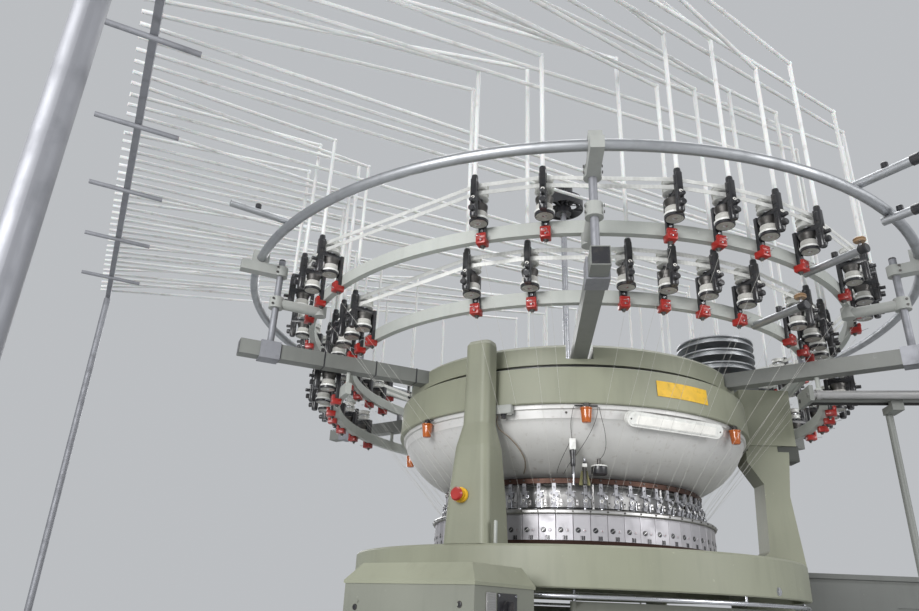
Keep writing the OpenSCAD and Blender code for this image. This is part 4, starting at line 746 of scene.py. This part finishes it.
guard = block("guard", (-0.0085, -0.017, 1.387), (-0.0075, 0.017, 1.43), 0)
shape(guard, lambda face: face.normal.z > 0.9, lambda: ops.transform.resize(value=(1, 0.55, 1)))
knobBits.append(wear(bevel(guard, 0.0003, 1), "film"))
knobPiece = shift(merge(knobBits, "knobPiece"), around([hung["knob"][1]], hung["knob"][0])[0])
keep(merge([detector, gauge, knobPiece], "headInstruments"), stands=["head_instruments"])


# A free wire, from its first knot back into the machine
def wire(name, knots, thick, finish):
    line = smoothLine([polar(*k) for k in knots], 4)
    curve = bpy.data.curves.new(name, "CURVE")
    curve.dimensions = "3D"
    curve.bevel_depth = thick / 2
    curve.bevel_resolution = 2
    curve.use_fill_caps = True
    spline = curve.splines.new("POLY")
    spline.points.add(len(line) - 1)
    for knot, place in zip(spline.points, line):
        knot.co = (*place, 1)
    piece = bpy.data.objects.new(name, curve)
    bpy.context.collection.objects.link(piece)
    length = sum((b - a).length for a, b in zip(line, line[1:]))
    return keep(wear(piece, finish))


wires = {
    "detectorWire": [(0.627, -97.8, 1.594), (0.618, -98.2, 1.576), (0.6, -98.6, 1.55), (0.584, -98.5, 1.526),
                     (0.576, -98.3, 1.508)],
    "needleWire": [(0.627, -91.3, 1.5942), (0.618, -91.6, 1.57), (0.604, -92.4, 1.543), (0.58, -94.2, 1.508),
                   (0.542, -97, 1.4715), (0.502, -99.6, 1.4475), (0.466, -101, 1.4345), (0.444, -101.6, 1.4315)],
    "gaugeWire": [(0.627, -91.0, 1.5938), (0.62, -90.4, 1.566), (0.603, -89.3, 1.53), (0.576, -88.5, 1.497),
                  (0.55, -88.5, 1.477), (0.534, -89.0, 1.467), (0.5265, -89.5, 1.4625)],
    "sideWire": [(0.5835, -98.9, 1.503), (0.566, -99.6, 1.49), (0.541, -101, 1.4705), (0.51, -102.5, 1.4505),
                 (0.477, -103.6, 1.4375), (0.452, -104.1, 1.4325)],
}
sheath = {"wire": 0.0016, "cable": 0.004}
for name, knots in wires.items():
    wire(name, knots, sheath["wire"], "wire")
wire("bracketCable", [(0.632, -118.6, 1.5755), (0.626, -119.1, 1.556), (0.611, -118.8, 1.538), (0.59, -117, 1.52),
                      (0.564, -115, 1.494), (0.53, -114, 1.4655), (0.494, -115, 1.4465), (0.466, -116.6, 1.437),
                      (0.446, -117.8, 1.434)], sheath["cable"], "tanWire")
tell("dish")


# Rings and beams: bolts, caps and the short clamp tubes
arm = {"boltX": 1.155, "boltZ": (1.936, 1.954, 2.05, 2.068), "boltY": (-0.0245, 0.0225), "post": (1.14, 0, 0),
       "strapX": (1.118, 1.162), "strapZ": 1.805, "ringBolt": (1.212, 0, 2.115),
       "ringScrewY": (-0.009, 0.009), "ringScrewZ": 2.0032}
armBits = []
for z in arm["boltZ"]:
    for y in arm["boltY"]:
        bolt = bar("armBolt", 0.0045, (arm["boltX"], y, z), (arm["boltX"], y + 0.002, z), 8)
        armBits.append(wear(bolt, "darkSteel"))
armBits.append(wear(lathe("postCap", [(0, 2.108), (0.006, 2.1075), (0.0105, 2.1045), (0.0112, 2.1015),
                                      (0.0112, 2.0995), (0, 2.0995)], 20), "black"))
shift(armBits[-1], moved(arm["post"]))
for x in arm["strapX"]:
    strapBolt = shift(hexBolt("strapBolt", 0.0065, 0.006), moved((x, 0, arm["strapZ"])))
    armBits.append(wear(strapBolt, "chrome"))
armBits.append(wear(block("beamEnd", (1.2345, -0.0205, 1.7545), (1.2362, 0.0205, 1.7975), 0.0006), "black"))
ringBolt = shift(socketScrew("ringBolt", 0.006, 0.005, 12), moved(arm["ringBolt"]))
armBits.append(wear(ringBolt, "chrome"))
for y in arm["ringScrewY"]:
    place = (rings["upper"][0], y, arm["ringScrewZ"])
    armBits.append(wear(shift(socketScrew("ringScrew", 0.0045, 0.003, 10), moved(place)), "chrome"))
keep(spread(merge(armBits, "armBits"), around(rings["beams"]), "ringHardware"))

# Cable ties round the beam beside the front column
ties = {"beam": rings["beams"][0], "at": (1.107, 0.962, 0.783, 0.636), "half": 0.0226, "low": 1.7514,
        "high": 1.8006, "wide": 0.0045, "thick": 0.0013, "headZ": (1.787, 1.793)}
tieBits = []
for x in ties["at"]:
    band = block("band", (x - ties["wide"] / 2, -ties["half"], ties["low"]),
                 (x + ties["wide"] / 2, ties["half"], ties["high"]), 0)
    shape(band, lambda face: abs(face.normal.x) > 0.9, lambda: ops.mesh.delete(type="ONLY_FACE"))
    wall = take(band).modifiers.new("wall", "SOLIDIFY")
    wall.thickness = ties["thick"]
    wall.offset = 1
    ops.object.modifier_apply(modifier="wall")
    tieHead = block("tieHead", (x - 0.0035, -ties["half"] - 0.0058, ties["headZ"][0]),
                    (x + 0.0035, -ties["half"] - 0.0008, ties["headZ"][1]), 0.0008)
    tieBits += [band, tieHead]
tieBits = merge([wear(b, "black") for b in tieBits], "cableTies")
keep(shift(tieBits, turned(ties["beam"])))

# Short tubes clamped to the rings, each with a cap on its outer end
stubs = {
    "left": ((-1.121, -0.817, 2.118), (-0.967, -0.716, 2.118), 0.0105),
    "right": ((0.702, -1.166, 2.118), (0.612, -1.028, 2.118), 0.0125),
    "inner": ((0.779, -1.024, 2.062), (0.728, -0.95, 2.062), 0.0125),
    "upper": ((0.649, -0.965, 1.966), (0.566, -0.80, 1.966), 0.011),
    "lower": ((0.508, -0.876, 1.832), (0.434, -0.715, 1.832), 0.011),
}
up = Vector((0, 0, 1))
for name, (outer, inner, thick) in stubs.items():
    outer, inner = Vector(outer), Vector(inner)
    way = (outer - inner).normalized()
    stub = [wear(bar("stub", thick, inner, outer, 20, 0.001), "aluminium")]
    if name != "left":
        endCap = bar("cap", thick + 0.0022, outer - way * 0.012, outer + way * 0.012, 20, 0.002)
        stub.append(wear(endCap, "black"))
    hold = outer.lerp(inner, 0.45)
    clampKnob = bar("clampKnob", 0.009, hold + up * thick * 0.9, hold + up * (thick + 0.016), 14, 0.002)
    stub.append(wear(clampKnob, "black"))
    if name in ("upper", "lower"):
        post = outer - way * 0.006
        stub.append(wear(bar("wheelPost", 0.004, post, post + up * 0.03, 10), "chrome"))
        eyelet = lathe("eyelet", [(0.004, 0.024), (0.014, 0.024), (0.0165, 0.027), (0.012, 0.0295), (0.0165, 0.032),
                                  (0.014, 0.035), (0.004, 0.035)], 24)
        stub.append(wear(shift(eyelet, moved(post)), "tan"))
    keep(merge(stub, name + "ClampTube"))
tell("rings")


# Switch cabinet: the locks on its front, the ribbed plate and the plate behind its switch
cabinet = {"turn": -128, "front": 1.032, "side": 0.33, "locks": ((-0.021, 1.032), (0.291, 1.045)),
           "ribs": 9, "ribLow": 1.028, "ribPitch": 0.005}
cabinetBits = []
for y, z in cabinet["locks"]:
    lock = merge([wear(ringBead("lockRing", 0.0062, 0.0012, (0, 0, 0.0005), (0, 0, 1), 20), "darkSteel"),
                  wear(socketScrew("lockHole", 0.0052, 0.0016, 12), "black")], "lock")
    cabinetBits.append(shift(lock, moved((cabinet["front"] - 0.002, y, z)) @ outward))
sideways = faceOut(Vector((0, 1, 0)))
side = cabinet["side"]
cabinetBits.append(wear(block("switchPlate", (0.865, side, 1.006), (0.944, side + 0.0018, 1.072), 0.0008), "black"))
cabinetBits.append(wear(block("ribPlate", (0.952, side, 1.024), (0.988, side + 0.003, 1.072), 0.0008), "satin"))
for i in range(cabinet["ribs"]):
    z = cabinet["ribLow"] + cabinet["ribPitch"] * i
    cabinetBits.append(wear(bar("rib", 0.0014, (0.954, side + 0.003, z), (0.986, side + 0.003, z), 8, 0), "satin"))
for z in (1.011, 1.067):
    for x in (0.87, 0.939):
        plateScrew = socketScrew("plateScrew", 0.0028, 0.0016, 8)
        shift(plateScrew, moved((x, side + 0.0014, z)) @ sideways)
        cabinetBits.append(wear(plateScrew, "chrome"))
keep(shift(merge(cabinetBits, "cabinetFittings"), turned(cabinet["turn"])))

# Junction box on the outer side of the right column
junction = {"low": (0.7455, -0.046, 1.574), "high": (0.829, 0.03, 1.634), "lidLow": (0.752, -0.0485, 1.58),
            "lidHigh": (0.823, -0.0455, 1.628), "screws": (0.758, 0.817), "screwY": (-0.0485, -0.0496),
            "screwZ": 1.604}
sideBox = [wear(block("boxBody", junction["low"], junction["high"], 0.004, 2), "darkPaint"),
           wear(block("boxLid", junction["lidLow"], junction["lidHigh"], 0.0025), "darkPaint")]
for x in junction["screws"]:
    start, end = [(x, y, junction["screwZ"]) for y in junction["screwY"]]
    sideBox.append(wear(bar("boxScrew", 0.0026, start, end, 8), "darkSteel"))
keep(shift(merge(sideBox, "junctionBox"), turned(rings["columns"][1])))

# Bolt in the table's outer face
tableRim = {"azimuth": -52, "face": 0.7495, "height": 1.112}
tableBolt = shift(hexBolt("tableBolt", 0.009, 0.005),
                  around([tableRim["azimuth"]], tableRim["face"], tableRim["height"])[0] @ outward)
keep(wear(tableBolt, "chrome"))
tell("cabinet")


# Yarns: each runs taut from its feeder's nose to its guide, with the small sag of its own weight
yarn = {"thick": 0.00072, "noseOut": 0.012, "noseDrop": 0.0575, "eye": (0.4552, 1.335), "sag": 0.002, "knots": 10,
        "from": -60, "columnGap": 3}
eyeAzimuths = [a + yarn["from"] for a in guides]  # in the feeders' order, and below without those at a column
eyeAzimuths = [a for a in eyeAzimuths
               if all(abs((a - c + 540) % 360 - 180) >= yarn["columnGap"] for c in rings["columns"])]
yarnCurve = bpy.data.curves.new("yarns", "CURVE")
yarnCurve.dimensions = "3D"
yarnCurve.bevel_depth = yarn["thick"] / 2
yarnCurve.bevel_resolution = 1
for k, (r, a, z) in enumerate(sorted(feederPlaces, key=lambda place: place[1])):
    start = polar(r + yarn["noseOut"], a, z - yarn["noseDrop"])
    end = polar(yarn["eye"][0], eyeAzimuths[(k + 1) % len(eyeAzimuths)], yarn["eye"][1])
    line = yarnCurve.splines.new("POLY")
    line.points.add(yarn["knots"] - 1)
    for n, knot in enumerate(line.points):
        t = n / (yarn["knots"] - 1)
        knot.co = (*(start.lerp(end, t) - up * (yarn["sag"] * 4 * t * (1 - t))), 1)
yarnPiece = bpy.data.objects.new("yarnRuns", yarnCurve)
bpy.context.collection.objects.link(yarnPiece)
take(yarnPiece)
ops.object.convert(target="MESH")
yarnPiece = bpy.context.object
keep(wear(yarnPiece, "yarn"), stands=["yarns"])
tell("yarns")


# Floor, lamps and world
def flat(name, colour):
    f = Finish(name)
    return f.done(Base_Color=f.mix(f.between(f.noise(3, 4), 0.3, 0.7), shade(colour, 0.97), colour), Roughness=0.75)


floor = begin(ops.mesh.primitive_plane_add, "floor", size=40, location=(0, 0, -0.0005))
floor.data.materials.append(flat("floorPaint", tint(198, 199, 200)))


def softLamp(name, place, target, size, power):
    lamp = bpy.data.lights.new(name, "AREA")
    lamp.shape = "DISK"
    lamp.size = size
    lamp.energy = power
    thing = bpy.data.objects.new(name, lamp)
    bpy.context.collection.objects.link(thing)
    aim = (Vector(target) - Vector(place)).to_track_quat("-Z", "Y")
    thing.matrix_world = moved(place) @ aim.to_matrix().to_4x4()


softLamp("key", (-2.6, -4.6, 2.2), (0, 0, 1.6), size=2.2, power=190)
softLamp("fill", (4.2, -3.4, 2.6), (0.2, 0, 1.7), size=2.6, power=110)
softLamp("above", (0.5, 1.0, 5.6), (0, 0, 1.6), size=4.0, power=150)
softLamp("behind", (-1.5, 4.6, 3.0), (0, 0, 1.7), size=2.4, power=80)

# World: a soft light for the surfaces, a pale backdrop for the camera, for glass and for reflections
backdrop = {"light": ((0.8, 0.83, 0.86, 1), 0.55), "shown": ((0.50, 0.515, 0.535, 1), 1.0)}
world = bpy.data.worlds.new("studio")
bpy.context.scene.world = world
world.use_nodes = True
air = world.node_tree
air.nodes.clear()


def airNode(kind, *sources, operation=None):
    made = air.nodes.new(kind)
    if operation:
        made.operation = operation
    for i, source in enumerate(sources):
        if isinstance(source, bpy.types.NodeSocket):
            air.links.new(source, made.inputs[i])
        else:
            made.inputs[i].default_value = source
    return made


ray = airNode("ShaderNodeLightPath")
shown = airNode("ShaderNodeMath", ray.outputs["Is Camera Ray"], ray.outputs["Is Transmission Ray"],
                operation="MAXIMUM")
shown = airNode("ShaderNodeMath", shown.outputs[0], ray.outputs["Is Glossy Ray"], operation="MAXIMUM")
skies = [airNode("ShaderNodeBackground", *backdrop[key]).outputs[0] for key in ("light", "shown")]
airNode("ShaderNodeOutputWorld", airNode("ShaderNodeMixShader", shown.outputs[0], *skies).outputs[0])
bpy.context.scene.view_settings.view_transform = "Standard"
tell("light")
